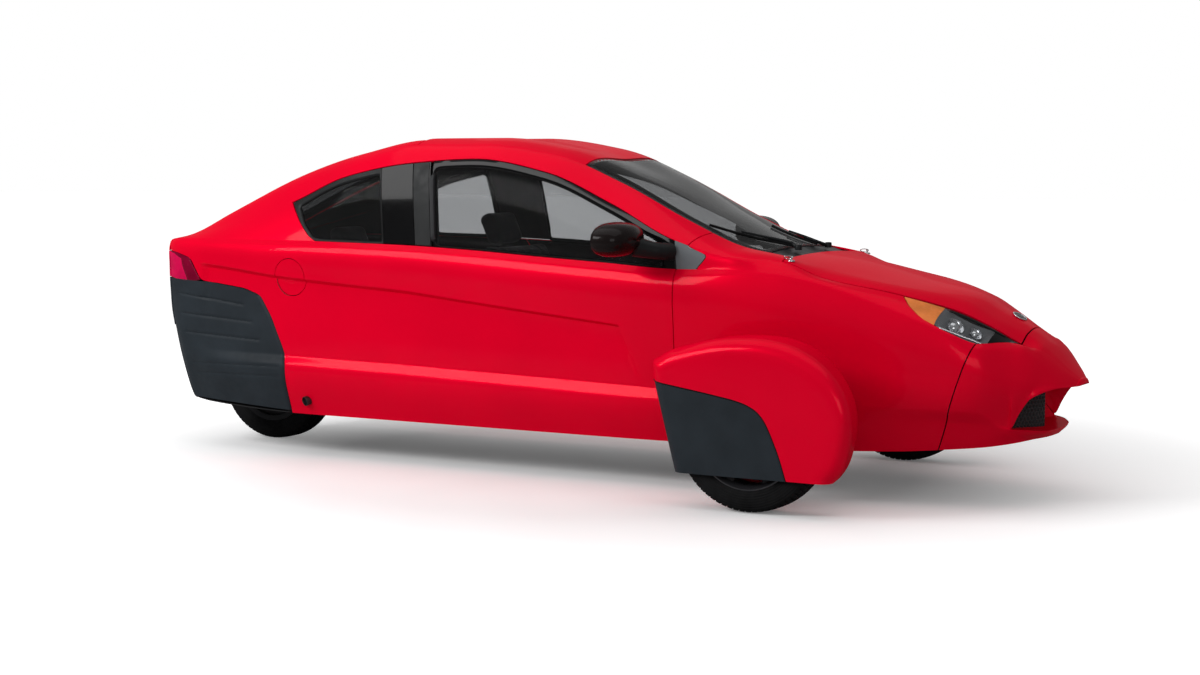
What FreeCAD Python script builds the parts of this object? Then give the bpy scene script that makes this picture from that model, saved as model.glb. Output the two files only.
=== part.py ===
import FreeCAD, Part
import math
import os
import Sketcher

# Three wheeled car: a closed tandem two seater with two steered front wheels, each in its own pod
# beside the nose, and one rear wheel in the tail.  Millimetres.  +X forward, +Y left, +Z up.
# The origin is on the ground, under the middle of the car's box.

doc = FreeCAD.newDocument("ThreeWheeledCar")
sheet = doc.addObject("Spreadsheet::Sheet", "Sizes")

# ---------------------------------------------------------------- driving dimensions
# columns: alias, value, what it is
SIZES = [
    ("wheelbase", 2794, "front axle to rear axle"),
    ("front_overhang", 1004, "front axle to the nose tip"),
    ("rear_overhang", 292, "rear axle to the tail"),
    ("body_width", 980, "body without the pods"),
    ("roof_height", 1372, "top of the roof above the ground"),
    ("ground_clearance", 183, "underside of the sills"),
    ("track_width", 1520, "between the middles of the front tyres"),
    ("tyre_radius", 292, "tyre tread radius"),
    ("tyre_width", 142, "tyre section width"),
    ("tyre_sidewall", 84, "tyre height from rim to tread"),
    ("tyre_shoulder", 16, "bevel at the tread's edges"),
    ("rim_wall", 12, "rim barrel thickness"),
    ("rim_disc", 14, "wheel disc thickness"),
    ("hub_radius", 42, "wheel hub"),
    ("hub_length", 50, "wheel hub along the axle"),
    ("spindle_radius", 17, "stub axle"),
    ("running_clearance", 0.05, "radial gap of a bearing"),
    ("kingpin_inset", 45, "steering axis inboard of the tyre's middle"),
    ("kingpin_radius", 14, "steering pivot pin"),
    ("kingpin_height", 200, "length of the steering pivot pin"),
    ("arm_height", 70, "suspension arm's middle above or below the axle"),
    ("arm_clearance", 8, "round an arm where it passes through the fender"),
    ("beam_width", 120, "cross beam that carries the arms, front to back"),
    ("eye_radius", 30, "eye at the end of an arm"),
    ("ball_gap", 0.5, "gap round the steering pivot pin in its eyes"),
    ("arm_thickness", 22, "suspension arm"),
    ("arm_spread", 110, "suspension arm's half width at the body"),
    ("side_wall", 50, "door and side wall"),
    ("roof_wall", 30, "roof"),
    ("floor_wall", 40, "floor"),
    ("nose_wall", 16, "fenders, hood and bumper"),
    ("tail_wall", 40, "tail panel"),
    ("glass_set", 3, "glass below the outer skin"),
    ("glass_thickness", 5, "window glass"),
    ("glue_gap", 1, "glass to its seat"),
    ("glass_lap", 18, "glass over its seat"),
    ("panel_gap", 4, "between fixed panels"),
    ("door_gap", 8, "round a door or lid"),
    ("flap_radius", 79, "fuel flap"),
    ("flap_gap", 6, "round the fuel flap"),
    ("pod_wall", 8, "wheel pod skin"),
    ("pod_side_clearance", 11, "tyre to the pod's outer wall"),
    ("pod_inner_clearance", 19, "tyre to the pod's inner wall"),
    ("pod_round", 46, "rounding of the pod's outer edge"),
    ("pod_panel_depth", 5, "black pod panel"),
    ("well_clearance", 46, "rear tyre to its wheel well"),
    ("well_wall", 8, "rear wheel well"),
    ("swingarm_thickness", 18, "rear arm"),
    ("swingarm_gap", 12, "rear tyre to the rear arm"),
    ("rear_axle_radius", 12, "rear axle"),
    ("seat_width", 500, "seat cushions"),
    ("seat_depth", 500, "seat cushion, front to back"),
    ("seat_cushion", 130, "seat cushion height"),
    ("front_seat_back", 620, "front seat back height"),
    ("rear_seat_back", 540, "rear seat back height"),
    ("seat_back_thickness", 110, "seat back"),
    ("headrest_height", 150, "head restraint"),
    ("seat_recline", 24, "seat back angle from upright, degrees"),
    ("front_seat_place", -290, "rear edge of the front cushion"),
    ("rear_seat_place", -1130, "rear edge of the rear cushion"),
    ("seat_riser", 110, "floor to the cushion"),
    ("steering_wheel_radius", 175, "steering wheel"),
    ("steering_rim", 14, "steering wheel's rim section radius"),
    ("steering_tilt", 24, "column angle, degrees"),
    ("engine_length", 380, "engine and gearbox, front to back"),
    ("engine_width", 440, "engine and gearbox, across"),
    ("engine_height", 330, "engine and gearbox"),
    ("engine_lift", 290, "engine's underside above the ground"),
    ("mirror_width", 225, "door mirror, across"),
    ("mirror_height", 118, "door mirror"),
    ("mirror_depth", 110, "door mirror, front to back"),
    ("mouth_width", 420, "grille opening"),
    ("mouth_floor", 290, "grille opening's lower edge"),
    ("mouth_roof", 424, "grille opening's upper edge"),
    ("grille_plate", 6, "grille plate"),
    ("plate_bolt_spacing", 240, "rear plate screws, across"),
    ("plate_bolt_radius", 3, "rear plate screw holes"),
]
for row, (alias, value, note) in enumerate(SIZES, 1):
    sheet.set("A%d" % row, note)
    sheet.set("B%d" % row, str(value))
    sheet.setAlias("B%d" % row, alias)
doc.recompute()


class Size:
    """A length and the sheet's words for it, so that one formula gives a number and an expression."""

    def __init__(self, value, words):
        self.value = float(value)
        self.words = words

    def _join(self, other, sign, result):
        return Size(result, "(%s %s %s)" % (self.words, sign, other.words))

    def __add__(self, other):
        other = as_size(other)
        return self._join(other, "+", self.value + other.value)

    def __radd__(self, other):
        return as_size(other) + self

    def __sub__(self, other):
        other = as_size(other)
        return self._join(other, "-", self.value - other.value)

    def __rsub__(self, other):
        return as_size(other) - self

    def __mul__(self, other):
        other = as_size(other)
        return self._join(other, "*", self.value * other.value)

    def __rmul__(self, other):
        return as_size(other) * self

    def __truediv__(self, other):
        other = as_size(other)
        return self._join(other, "/", self.value / other.value)

    def __neg__(self):
        return as_size(0) - self

    def __float__(self):
        return self.value


def as_size(value):
    return value if isinstance(value, Size) else Size(value, "%.6f" % value)


def size(alias):
    return Size(sheet.get(alias), "Sizes.%s" % alias)


def mm(alias):
    return float(sheet.get(alias))


# ---------------------------------------------------------------- places that many pieces share
overall_length = size("rear_overhang") + size("wheelbase") + size("front_overhang")
tail_x = as_size(0) - overall_length / 2
nose_x = overall_length / 2
rear_axle_x = tail_x + size("rear_overhang")
front_axle_x = rear_axle_x + size("wheelbase")
axle_z = size("tyre_radius")
wheel_y = size("track_width") / 2
kingpin_y = wheel_y - size("kingpin_inset")
rim_radius = size("tyre_radius") - size("tyre_sidewall")

# ---------------------------------------------------------------- body lines
# The car is drawn at these sizes and stretched to the sheet's.
DRAWN_REAR_AXLE, DRAWN_FRONT_AXLE, DRAWN_TAIL, DRAWN_NOSE = -1753.0, 1041.0, -2045.0, 2045.0
DRAWN_WIDTH, DRAWN_ROOF, DRAWN_SILL = 980.0, 1372.0, 183.0

# Each row is the right half of one cross section, as half widths and heights.  Its columns are:
# x, top of the middle, then half width and height of
#   edge   : roof edge, windscreen edge and hood crease
#   frame  : top of the side windows and side of the hood
#   belt   : bottom of the side windows and fender shoulder
#   hip    : outer edge of the belt
#   crease : body side crease, and the nose's widest line
#   rocker : top of the rocker
#   bulge  : widest line of the rocker
#   sill   : lower edge
LINES = ("edge", "frame", "belt", "hip", "crease", "rocker", "bulge", "sill")
SECTIONS = [
    #   x    top     edge        frame       belt        hip        crease      rocker      bulge       sill
    (-2045, 935, (300, 933), (355, 930), (396, 924), (410, 905), (416, 800), (412, 720), (405, 650), (392, 590)),
    (-1985, 948, (315, 944), (372, 939), (424, 931), (438, 911), (444, 828), (436, 640), (426, 500), (402, 390)),
    (-1925, 972, (325, 966), (384, 948), (438, 933), (452, 911), (458, 834), (448, 560), (438, 390), (385, 215)),
    (-1753, 1051, (330, 1044), (395, 988), (450, 935), (467, 910), (472, 824), (460, 446), (468, 396), (408, 198)),
    (-1350, 1217, (330, 1208), (406, 1098), (462, 936), (484, 906), (488, 783), (470, 438), (490, 391), (440, 184)),
    (-1050, 1304, (330, 1293), (408, 1213), (465, 933), (487, 904), (490, 762), (470, 432), (490, 384), (440, 183)),
    (-720, 1364, (330, 1346), (400, 1270), (465, 927), (488, 898), (490, 741), (470, 427), (490, 377), (440, 183)),
    (-400, 1368, (330, 1347), (397, 1287), (465, 914), (488, 885), (490, 709), (470, 418), (490, 367), (440, 183)),
    (-60, 1325, (330, 1303), (400, 1233), (465, 894), (488, 864), (490, 675), (470, 410), (490, 356), (440, 183)),
    (250, 1221, (330, 1190), (415, 1110), (465, 877), (488, 845), (490, 645), (470, 401), (490, 347), (440, 183)),
    (566, 1073, (330, 1038), (454, 967), (466, 860), (487, 829), (488, 612), (468, 392), (485, 340), (438, 184)),
    (800, 974, (330, 944), (455, 908), (466, 864), (480, 838), (478, 575), (460, 385), (470, 335), (430, 185)),
    (967, 924, (330, 914), (400, 900), (448, 860), (462, 836), (466, 548), (452, 380), (455, 330), (422, 186)),
    (1150, 893, (330, 858), (390, 838), (432, 827), (447, 800), (454, 530), (445, 375), (440, 325), (410, 189)),
    (1430, 826, (272, 807), (347, 784), (415, 738), (430, 706), (436, 508), (424, 370), (405, 320), (370, 199)),
    (1640, 773, (165, 753), (250, 719), (388, 655), (402, 626), (408, 490), (384, 368), (350, 318), (312, 214)),
    (1745, 714, (136, 695), (215, 668), (343, 612), (368, 588), (384, 480), (350, 365), (310, 312), (268, 223)),
    (1864, 643, (96, 628), (162, 597), (203, 600), (250, 578), (302, 468), (285, 362), (250, 298), (185, 244)),
    (1912, 605, (92, 598), (146, 583), (182, 570), (218, 548), (262, 462), (252, 370), (200, 298), (60, 253)),
    (1932, 587, (78, 581), (125, 569), (170, 552), (200, 530), (240, 460), (234, 440), (225, 433), (214, 429)),
    (1990, 520, (46, 517), (80, 510), (114, 498), (136, 484), (166, 456), (160, 448), (152, 444), (142, 441)),
    (2045, 458, (12, 458), (20, 457), (26, 456), (30, 454), (34, 450), (31, 446), (27, 444), (21, 443)),
]


def stretch_x(x):
    """Drawn x to real x: the overhangs and the wheelbase each stretch by themselves."""
    drawn = (DRAWN_TAIL, DRAWN_REAR_AXLE, DRAWN_FRONT_AXLE, DRAWN_NOSE)
    real = (float(tail_x), float(rear_axle_x), float(front_axle_x), float(nose_x))
    for first in range(3):
        if x <= drawn[first + 1] or first == 2:
            share = (x - drawn[first]) / (drawn[first + 1] - drawn[first])
            return real[first] + share * (real[first + 1] - real[first])


def stretch_back(real_x):
    """Real x to drawn x near the tail."""
    return DRAWN_TAIL + (real_x - float(tail_x)) * (DRAWN_REAR_AXLE - DRAWN_TAIL) / mm("rear_overhang")


def stretch_y(y):
    return y * mm("body_width") / DRAWN_WIDTH


def stretch_z(z):
    """Drawn z to real z, from the sill's underside up to the roof."""
    share = (z - DRAWN_SILL) / (DRAWN_ROOF - DRAWN_SILL)
    return mm("ground_clearance") + share * (mm("roof_height") - mm("ground_clearance"))


def drawn_section(x):
    """The half section at a drawn x, worked out between its two neighbours in the table."""
    for low, high in zip(SECTIONS, SECTIONS[1:]):
        if low[0] <= x <= high[0]:
            share = (x - low[0]) / (high[0] - low[0])
            top = low[1] + share * (high[1] - low[1])
            points = [(a[0] + share * (b[0] - a[0]), a[1] + share * (b[1] - a[1]))
                      for a, b in zip(low[2:], high[2:])]
            return top, points


def line_at(name, x):
    """Drawn half width and height of one body line at a drawn x."""
    return drawn_section(x)[1][LINES.index(name)]


def half_section(x, without=()):
    """Real (half width, height) points at a drawn x, from the top of the middle to the floor's middle."""
    top, points = drawn_section(x)
    outline = [(0.0, stretch_z(top))]
    outline += [(stretch_y(y), stretch_z(z)) for name, (y, z) in zip(LINES, points) if name not in without]
    outline.append((0.0, outline[-1][1]))
    return outline


NEARLY_STRAIGHT = 0.08  # sine of the turn below which a corner counts as straight


def inset_outline(outline, top_wall, side_wall, bottom_wall):
    """The outline moved inwards: level edges by the top or bottom wall, upright ones by the side wall."""
    normals, walls = [], []
    for (y0, z0), (y1, z1) in zip(outline, outline[1:]):
        length = math.hypot(y1 - y0, z1 - z0)
        inwards = ((z1 - z0) / length, (y0 - y1) / length)
        level_wall = top_wall if inwards[1] < 0 else bottom_wall
        normals.append(inwards)
        walls.append(math.hypot(side_wall * inwards[0], level_wall * inwards[1]))
    moved = [(0.0, outline[0][1] + walls[0] / normals[0][1])]
    for index in range(1, len(outline) - 1):
        (a, b), (c, d) = normals[index - 1], normals[index]
        s, t = walls[index - 1], walls[index]
        turn = a * d - b * c
        y, z = outline[index]
        if abs(turn) < NEARLY_STRAIGHT:
            moved.append((y + (a * s + c * t) / 2, z + (b * s + d * t) / 2))
        else:
            moved.append((y + (s * d - t * b) / turn, z + (a * t - c * s) / turn))
    moved.append((0.0, outline[-1][1] + walls[-1]))
    return moved


def body_loft(stations, top_wall=0.0, side_wall=0.0, bottom_wall=0.0, without=()):
    """Closed body between two stations, its skin moved inwards by these walls."""
    wires = []
    for x in stations:
        half = half_section(x, without)
        if top_wall:
            half = inset_outline(half, top_wall, side_wall, bottom_wall)
        place = stretch_x(x)
        right = [FreeCAD.Vector(place, -y, z) for y, z in half]
        left = [FreeCAD.Vector(place, y, z) for y, z in half[-2:0:-1]]
        wires.append(Part.makePolygon(right + left + right[:1]))
    return Part.makeLoft(wires, True, True)


def stations_between(first, last):
    return [first] + [row[0] for row in SECTIONS if first < row[0] < last] + [last]


# ---------------------------------------------------------------- cutting shapes
FAR = 3000.0


def grown(points, amount):
    """A closed outline, made larger by an amount, or smaller by a negative one."""
    wire = Part.makePolygon(points + points[:1])
    face = Part.Face(wire)
    return face.makeOffset2D(amount, 2) if amount else face


def side_prism(drawn, grow=0.0, low=-FAR, high=FAR):
    """A side view outline of drawn (x, z) points, carried across the car between two y."""
    points = [FreeCAD.Vector(stretch_x(x), low, stretch_z(z)) for x, z in drawn]
    return grown(points, grow).extrude(FreeCAD.Vector(0, high - low, 0))


def plan_prism(drawn, grow=0.0, low=-FAR, high=FAR):
    """A plan outline of drawn (x, y) points, carried up from one z to another."""
    points = [FreeCAD.Vector(stretch_x(x), stretch_y(y), low) for x, y in drawn]
    return grown(points, grow).extrude(FreeCAD.Vector(0, 0, high - low))


def slab(x0, x1, y0, y1, z0, z1):
    return Part.makeBox(x1 - x0, y1 - y0, z1 - z0, FreeCAD.Vector(x0, y0, z0))


def mirrored_outline(half):
    """A plan outline from its left half, given front to back or back to front."""
    return half + [(x, -y) for x, y in reversed(half) if y]


def along(name, first, last, z_shift=0.0):
    """Side view points of a body line between two drawn x, in the order asked for."""
    low, high = min(first, last), max(first, last)
    points = [(x, line_at(name, x)[1] + z_shift) for x in stations_between(low, high)]
    return points if first < last else points[::-1]


def plan_along(name, first, last, y_shift=0.0):
    low, high = min(first, last), max(first, last)
    points = [(x, line_at(name, x)[0] + y_shift) for x in stations_between(low, high)]
    return points if first < last else points[::-1]


# ---------------------------------------------------------------- drawn outlines of the panels
HEADER_X, WINDSCREEN_FOOT_X, HOOD_REAR_X, HOOD_FRONT_X = 84.0, 892.0, 985.0, 1850.0
HATCH_FRONT_X, HATCH_REAR_X = -735.0, -1950.0
DOOR_FRONT_X = 566.0
ROOF_Z_MIN, NOSE_Z_MIN = 700.0, 520.0

windscreen_outline = mirrored_outline(plan_along("edge", HEADER_X, WINDSCREEN_FOOT_X))
hatch_outline = mirrored_outline(plan_along("edge", HATCH_REAR_X, HATCH_FRONT_X))
roof_outline = mirrored_outline(plan_along("edge", HATCH_FRONT_X, HEADER_X))
cowl_outline = mirrored_outline(plan_along("edge", WINDSCREEN_FOOT_X, HOOD_REAR_X))
hood_outline = mirrored_outline(plan_along("frame", HOOD_REAR_X, HOOD_FRONT_X))
lamp_outline = (plan_along("frame", 1450, HOOD_FRONT_X)
                + [(1797, 270), (1734, 350), (1636, 388), (1543, 402), (1488, 410)])
quarter_tip = [(-1150, 925), (-1204, 940), (-1268, 1002), (-1345, 1092)]
sail_tip = [(612, 946), (688, 918), (680, 895), (655, 860)]
right_windows = (along("frame", -1330, DOOR_FRONT_X, -4) + sail_tip + along("belt", DOOR_FRONT_X, -1150)
                 + quarter_tip[1:])
main_glass = (along("frame", -570, 470, -36) + [(470, 1010 - 36), (520, 900)]
              + along("belt", 505, -570, 6))
quarter_glass = ([(-1290, 1085)] + along("frame", -1185, -700, -30)
                 + along("belt", -700, -1150, 8) + [(-1196, 952), (-1250, 1006)])
door_outline = along("frame", -800, DOOR_FRONT_X, -6) + along("rocker", DOOR_FRONT_X, -676) + [(-690, 905)]
door_glass = (along("frame", -745, 470, -40) + [(470, 1010 - 40), (520, 900)] + along("belt", 505, -630, 6))
left_quarter_window = (along("frame", -1330, -830, -4) + [(-720, 905 + 22)]
                       + along("belt", -730, -1150) + quarter_tip[1:])
left_quarter_glass = ([(-1290, 1085)] + along("frame", -1185, -860, -30)
                      + along("belt", -770, -1150, 8) + [(-1196, 952), (-1250, 1006)])
door_belt = [(-900, 2000), (700, 2000)] + along("belt", DOOR_FRONT_X, -800, 2)
fender_seam = [(DOOR_FRONT_X, 0), (DOOR_FRONT_X, 861), (657, 861), (684, 896), (692, 920), (655, 1014),
               (700, 1500), (2600, 1500), (2600, 0)]
bumper_seam = [(1520, 0), (1738, 613), (1797, 607), (HOOD_FRONT_X + 8, 606), (HOOD_FRONT_X + 8, 900),
               (2600, 900), (2600, 0)]
lamp_band = [(-2600, 878), (-1967, 871), (-1880, 848), (-1815, 748), (-2045, 757), (-2600, 760)]
cladding = [(-2600, 760), (-2045, 757), (-1815, 748), (-1776, 745), (-1576, 723), (-1484, 694),
            (-1424, 606), (-1358, 467), (-1334, 390), (-1339, 191), (-1339, 0), (-2600, 0)]

# ---------------------------------------------------------------- shells
side, roof, floor = mm("side_wall"), mm("roof_wall"), mm("floor_wall")
nose, tail = mm("nose_wall"), mm("tail_wall")
glass_top, glass_under = mm("glass_set"), mm("glass_set") + mm("glass_thickness")
glass_seat = glass_under + mm("glue_gap")
gap = mm("panel_gap") / 2
lid = mm("door_gap")
CABIN_FRONT_X, NOSE_ROOM_END_X, MOUTH_BACK = 880.0, 1900.0, 1800.0

mouth_low, mouth_high, mouth_half = mm("mouth_floor"), mm("mouth_roof"), mm("mouth_width") / 2
mouth_back = stretch_x(MOUTH_BACK)
mouth = slab(mouth_back - 50, FAR, -mouth_half, mouth_half, mouth_low, mouth_high)
mouth_box = slab(mouth_back, FAR, -mouth_half - nose, mouth_half + nose, mouth_low - nose, mouth_high + nose)

outer = body_loft([row[0] for row in SECTIONS])
cabin_stations = stations_between(stretch_back(float(tail_x) + tail), CABIN_FRONT_X)
cabin = body_loft(cabin_stations, roof, side, floor, ("hip",))
nose_room = body_loft(stations_between(CABIN_FRONT_X + nose, NOSE_ROOM_END_X), nose, nose, nose)
shell = outer.cut([cabin, nose_room.cut(mouth_box)])

skins = [body_loft([row[0] for row in SECTIONS[:-1]], depth, depth, depth)
         for depth in (glass_top, glass_under, glass_seat)]
glass_layer = skins[0].cut(skins[1])
seat_layer = outer.cut(skins[2])


def glazed(body, drawn, prism, **limits):
    """Cuts a window: a seat as wide as the glass, and the way through inside it."""
    return body.cut([seat_layer.common(prism(drawn, 0.0, **limits)),
                     prism(drawn, -mm("glass_lap"), **limits)])


def pane(drawn, prism, **limits):
    return only_solid(glass_layer.common(prism(drawn, -gap, **limits)))


def only_solid(shape):
    """The largest solid of a shape, without the slivers a cut may leave."""
    return max(shape.Solids, key=lambda solid: solid.Volume)


def two_sides(shapes):
    return Part.makeCompound([only_solid(shape) for shape in shapes])


parts = {}


def feature(label, shape):
    """Part::Feature for a shape that the sheet's numbers have already sized."""
    made = doc.addObject("Part::Feature", label)
    made.Label = label
    made.Shape = shape
    parts[label] = made
    return made


top = dict(low=stretch_z(ROOF_Z_MIN), high=FAR)
nose_top = dict(low=stretch_z(NOSE_Z_MIN), high=FAR)
right_side, left_side = dict(low=-FAR, high=0.0), dict(low=0.0, high=FAR)

# ---------------------------------------------------------------- middle panels
feature("roof_panel", only_solid(shell.common(plan_prism(roof_outline, -gap, **top))))
feature("windscreen", pane(windscreen_outline, plan_prism, **top))
feature("rear_hatch", only_solid(glass_layer.common(plan_prism(hatch_outline, -lid, **top))))
feature("hood", only_solid(shell.common(plan_prism(hood_outline, -lid, **nose_top))))
feature("cowl", only_solid(shell.common(plan_prism(cowl_outline, -gap, **top))))
lamp_outlines = [lamp_outline, [(x, -y) for x, y in lamp_outline]]
lamp_blocks = [plan_prism(drawn, -gap, **nose_top) for drawn in lamp_outlines]
feature("headlamps", two_sides([shell.common(block) for block in lamp_blocks]))

# ---------------------------------------------------------------- floor, well and tail
well_front = float(rear_axle_x) + mm("tyre_radius") + mm("well_clearance")
well_rear = float(tail_x) + tail
well_half = mm("tyre_width") / 2 + mm("well_clearance")
well_top = 2 * mm("tyre_radius") + mm("well_clearance")
wall = mm("well_wall")
well_room = slab(well_rear - 200, well_front, -well_half, well_half, -FAR, well_top)
well_block = slab(well_rear - 200, well_front + wall, -well_half - wall, well_half + wall,
                  -FAR, well_top + wall)

FLOOR_REAR_X, REAR_END_X, FLOOR_STEP = -1339.0, -1300.0, 2.0
floor_outline = mirrored_outline(plan_along("sill", FLOOR_REAR_X, CABIN_FRONT_X, -side))
floor_top = mm("ground_clearance") + floor + FLOOR_STEP
floor_block = plan_prism(floor_outline, 0.0, -FAR, floor_top)
floor_pan = shell.common(floor_block).cut(well_block)
feature("floor_pan", only_solid(floor_pan))

LAMP_INNER_Y = 262.0
tail_middle = [(-2600, -LAMP_INNER_Y), (-1700, -LAMP_INNER_Y), (-1700, LAMP_INNER_Y), (-2600, LAMP_INNER_Y)]
rear_end = shell.common(slab(-FAR, stretch_x(REAR_END_X), -FAR, FAR, -FAR, FAR)).cut(well_block)
feature("rear_cladding", only_solid(rear_end.common(side_prism(cladding, -gap))))
tail_band = rear_end.common(side_prism(lamp_band, -gap))
feature("tail_lamps", two_sides([tail_band.common(slab(-FAR, FAR, *ends, -FAR, FAR)) for ends in
                                 ((-FAR, -stretch_y(LAMP_INNER_Y)), (stretch_y(LAMP_INNER_Y), FAR))]))
feature("tail_panel", only_solid(tail_band.common(plan_prism(tail_middle, -gap, 0.0, FAR))))
well_shell = well_block.cut(well_room).common(outer).cut([shell.cut(well_block)])
feature("rear_wheel_well", only_solid(well_shell))

# ---------------------------------------------------------------- the frame that is left
frame_shell = shell.cut([
    plan_prism(roof_outline, gap, **top), plan_prism(cowl_outline, gap, **top),
    plan_prism(hood_outline, 0.0, **nose_top), floor_block, well_block,
    side_prism(cladding), side_prism(lamp_band)]
    + [plan_prism(drawn, 0.0, **nose_top) for drawn in lamp_outlines])
for window in (windscreen_outline, hatch_outline):
    frame_shell = glazed(frame_shell, window, plan_prism, **top)

# nose
bumper = only_solid(frame_shell.common(side_prism(bumper_seam, -gap)).cut(mouth))
feature("front_bumper", bumper)
plate = mm("grille_plate")
feature("grille", slab(mouth_back - plate, mouth_back, -mouth_half - nose / 2, mouth_half + nose / 2,
                       mouth_low - nose / 2, mouth_high + nose / 2))

# sides: a fender ahead of the door line and a side panel behind it
halves = {"right": slab(-FAR, FAR, -FAR, 0.0, -FAR, FAR), "left": slab(-FAR, FAR, 0.0, FAR, -FAR, FAR)}
fenders = frame_shell.cut(side_prism(bumper_seam, gap)).common(side_prism(fender_seam, -gap))
sides = frame_shell.cut(side_prism(fender_seam, gap))
side_right, side_left = (sides.common(halves[name]) for name in ("right", "left"))

right_frame = side_right.common(side_prism(right_windows, 0.0, **right_side))
for window in (main_glass, quarter_glass):
    right_frame = glazed(right_frame, window, side_prism, **right_side)
left_frame = side_left.common(side_prism(left_quarter_window, 0.0, **left_side))
left_frame = glazed(left_frame, left_quarter_glass, side_prism, **left_side)
feature("window_frame_right", only_solid(right_frame))
feature("window_frame_left", only_solid(left_frame))
feature("side_glass", Part.makeCompound([
    pane(main_glass, side_prism, **right_side), pane(quarter_glass, side_prism, **right_side),
    pane(left_quarter_glass, side_prism, **left_side)]))

# fuel flap in a round pocket of the right side
FLAP_X, FLAP_Z, POCKET_WALL = -1303.0, 778.0, 14.0
flap_centre = FreeCAD.Vector(stretch_x(FLAP_X), -FAR, stretch_z(FLAP_Z))
flap_radius = mm("flap_radius")
pocket_floor = -stretch_y(DRAWN_WIDTH / 2) + side - POCKET_WALL
across = FreeCAD.Vector(0, 1, 0)
pocket = Part.makeCylinder(flap_radius + mm("flap_gap"), FAR + pocket_floor, flap_centre, across)
flap_disc = Part.makeCylinder(flap_radius, FAR, flap_centre, across)
feature("fuel_flap", only_solid(outer.cut(skins[1]).common(flap_disc)))
right_opening = side_prism(right_windows, 0.0, **right_side)
feature("side_panel_right", only_solid(side_right.cut([right_opening, pocket])))
feature("side_panel_left", only_solid(side_left.cut([side_prism(left_quarter_window, 0.0, **left_side),
                                                    side_prism(door_outline, 0.0, **left_side)])))

# door: shell below the belt, black frame and glass above it
door = side_left.common(side_prism(door_outline, -lid, **left_side))
above_belt = side_prism(door_belt, 0.0, **left_side)
feature("door_shell", only_solid(door.cut(above_belt)))
feature("door_frame", only_solid(glazed(door.common(above_belt), door_glass, side_prism, **left_side)))
feature("door_glass", pane(door_glass, side_prism, **left_side))

# ---------------------------------------------------------------- front axle
pin_x, pin_y = float(front_axle_x), float(kingpin_y)
arm_low, arm_high = float(axle_z) - mm("arm_height"), float(axle_z) + mm("arm_height")
half_thick = mm("arm_thickness") / 2
beam_half = mm("beam_width") / 2


ARM_ROOT_Y, EYE_SHARE = 300.0, 0.8


def arm_outline(sign, grow):
    """Plan outline of one arm, from the cross beam out to the eye."""
    root_y, tip_half = stretch_y(ARM_ROOT_Y), mm("eye_radius") * EYE_SHARE
    points = [(pin_x - mm("arm_spread"), root_y), (pin_x - tip_half, pin_y),
              (pin_x + tip_half, pin_y), (pin_x + mm("arm_spread"), root_y)]
    return grown([FreeCAD.Vector(x, sign * y, 0) for x, y in points], grow)


def arm(sign, middle_z, grow=0.0):
    face = arm_outline(sign, grow)
    thick = half_thick + grow
    face.translate(FreeCAD.Vector(0, 0, middle_z - thick))
    return face.extrude(FreeCAD.Vector(0, 0, 2 * thick))


arm_places = [(sign, z) for sign in (-1, 1) for z in (arm_low, arm_high)]
beam = slab(pin_x - beam_half, pin_x + beam_half, -FAR, FAR, arm_low - half_thick, arm_high + half_thick)
arms = beam.common(nose_room)
for sign, z in arm_places:
    eye = Part.makeCylinder(mm("eye_radius"), 2 * half_thick,
                            FreeCAD.Vector(pin_x, sign * pin_y, z - half_thick))
    arms = arms.fuse([arm(sign, z), eye])
for sign in (-1, 1):
    arms = arms.cut(Part.makeCylinder(mm("kingpin_radius") + mm("ball_gap"), FAR,
                                      FreeCAD.Vector(pin_x, sign * pin_y, 0)))
feature("suspension_arms", only_solid(arms))
slots = [arm(sign, z, mm("arm_clearance")) for sign, z in arm_places]
for name, half in halves.items():
    feature("fender_" + name, only_solid(fenders.common(half).cut(slots)))


def bind(made, **sizes):
    """Ties properties of an object to the sheet."""
    for name, value in sizes.items():
        made.setExpression(name, as_size(value).words)
    return made


def at(made, x, y, z, rotation=None):
    """Places an object, its base tied to the sheet."""
    if rotation:
        made.Placement = FreeCAD.Placement(FreeCAD.Vector(), rotation)
    for axis, value in zip("xyz", (x, y, z)):
        made.setExpression("Placement.Base." + axis, as_size(value).words)
    return made


def box(label, x, y, z, length, width, height, rotation=None):
    return at(bind(doc.addObject("Part::Box", label), Length=length, Width=width, Height=height),
              x, y, z, rotation)


def cylinder(label, x, y, z, radius, height, rotation=None):
    return at(bind(doc.addObject("Part::Cylinder", label), Radius=radius, Height=height), x, y, z, rotation)


ALONG_Y = FreeCAD.Rotation(FreeCAD.Vector(1, 0, 0), -90)
SIDES = {"right": -1, "left": 1}


def fuse(label, pieces):
    made = doc.addObject("Part::MultiFuse", label)
    made.Label = label
    made.Shapes = pieces
    made.Refine = True
    parts[label] = made
    return made


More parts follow.
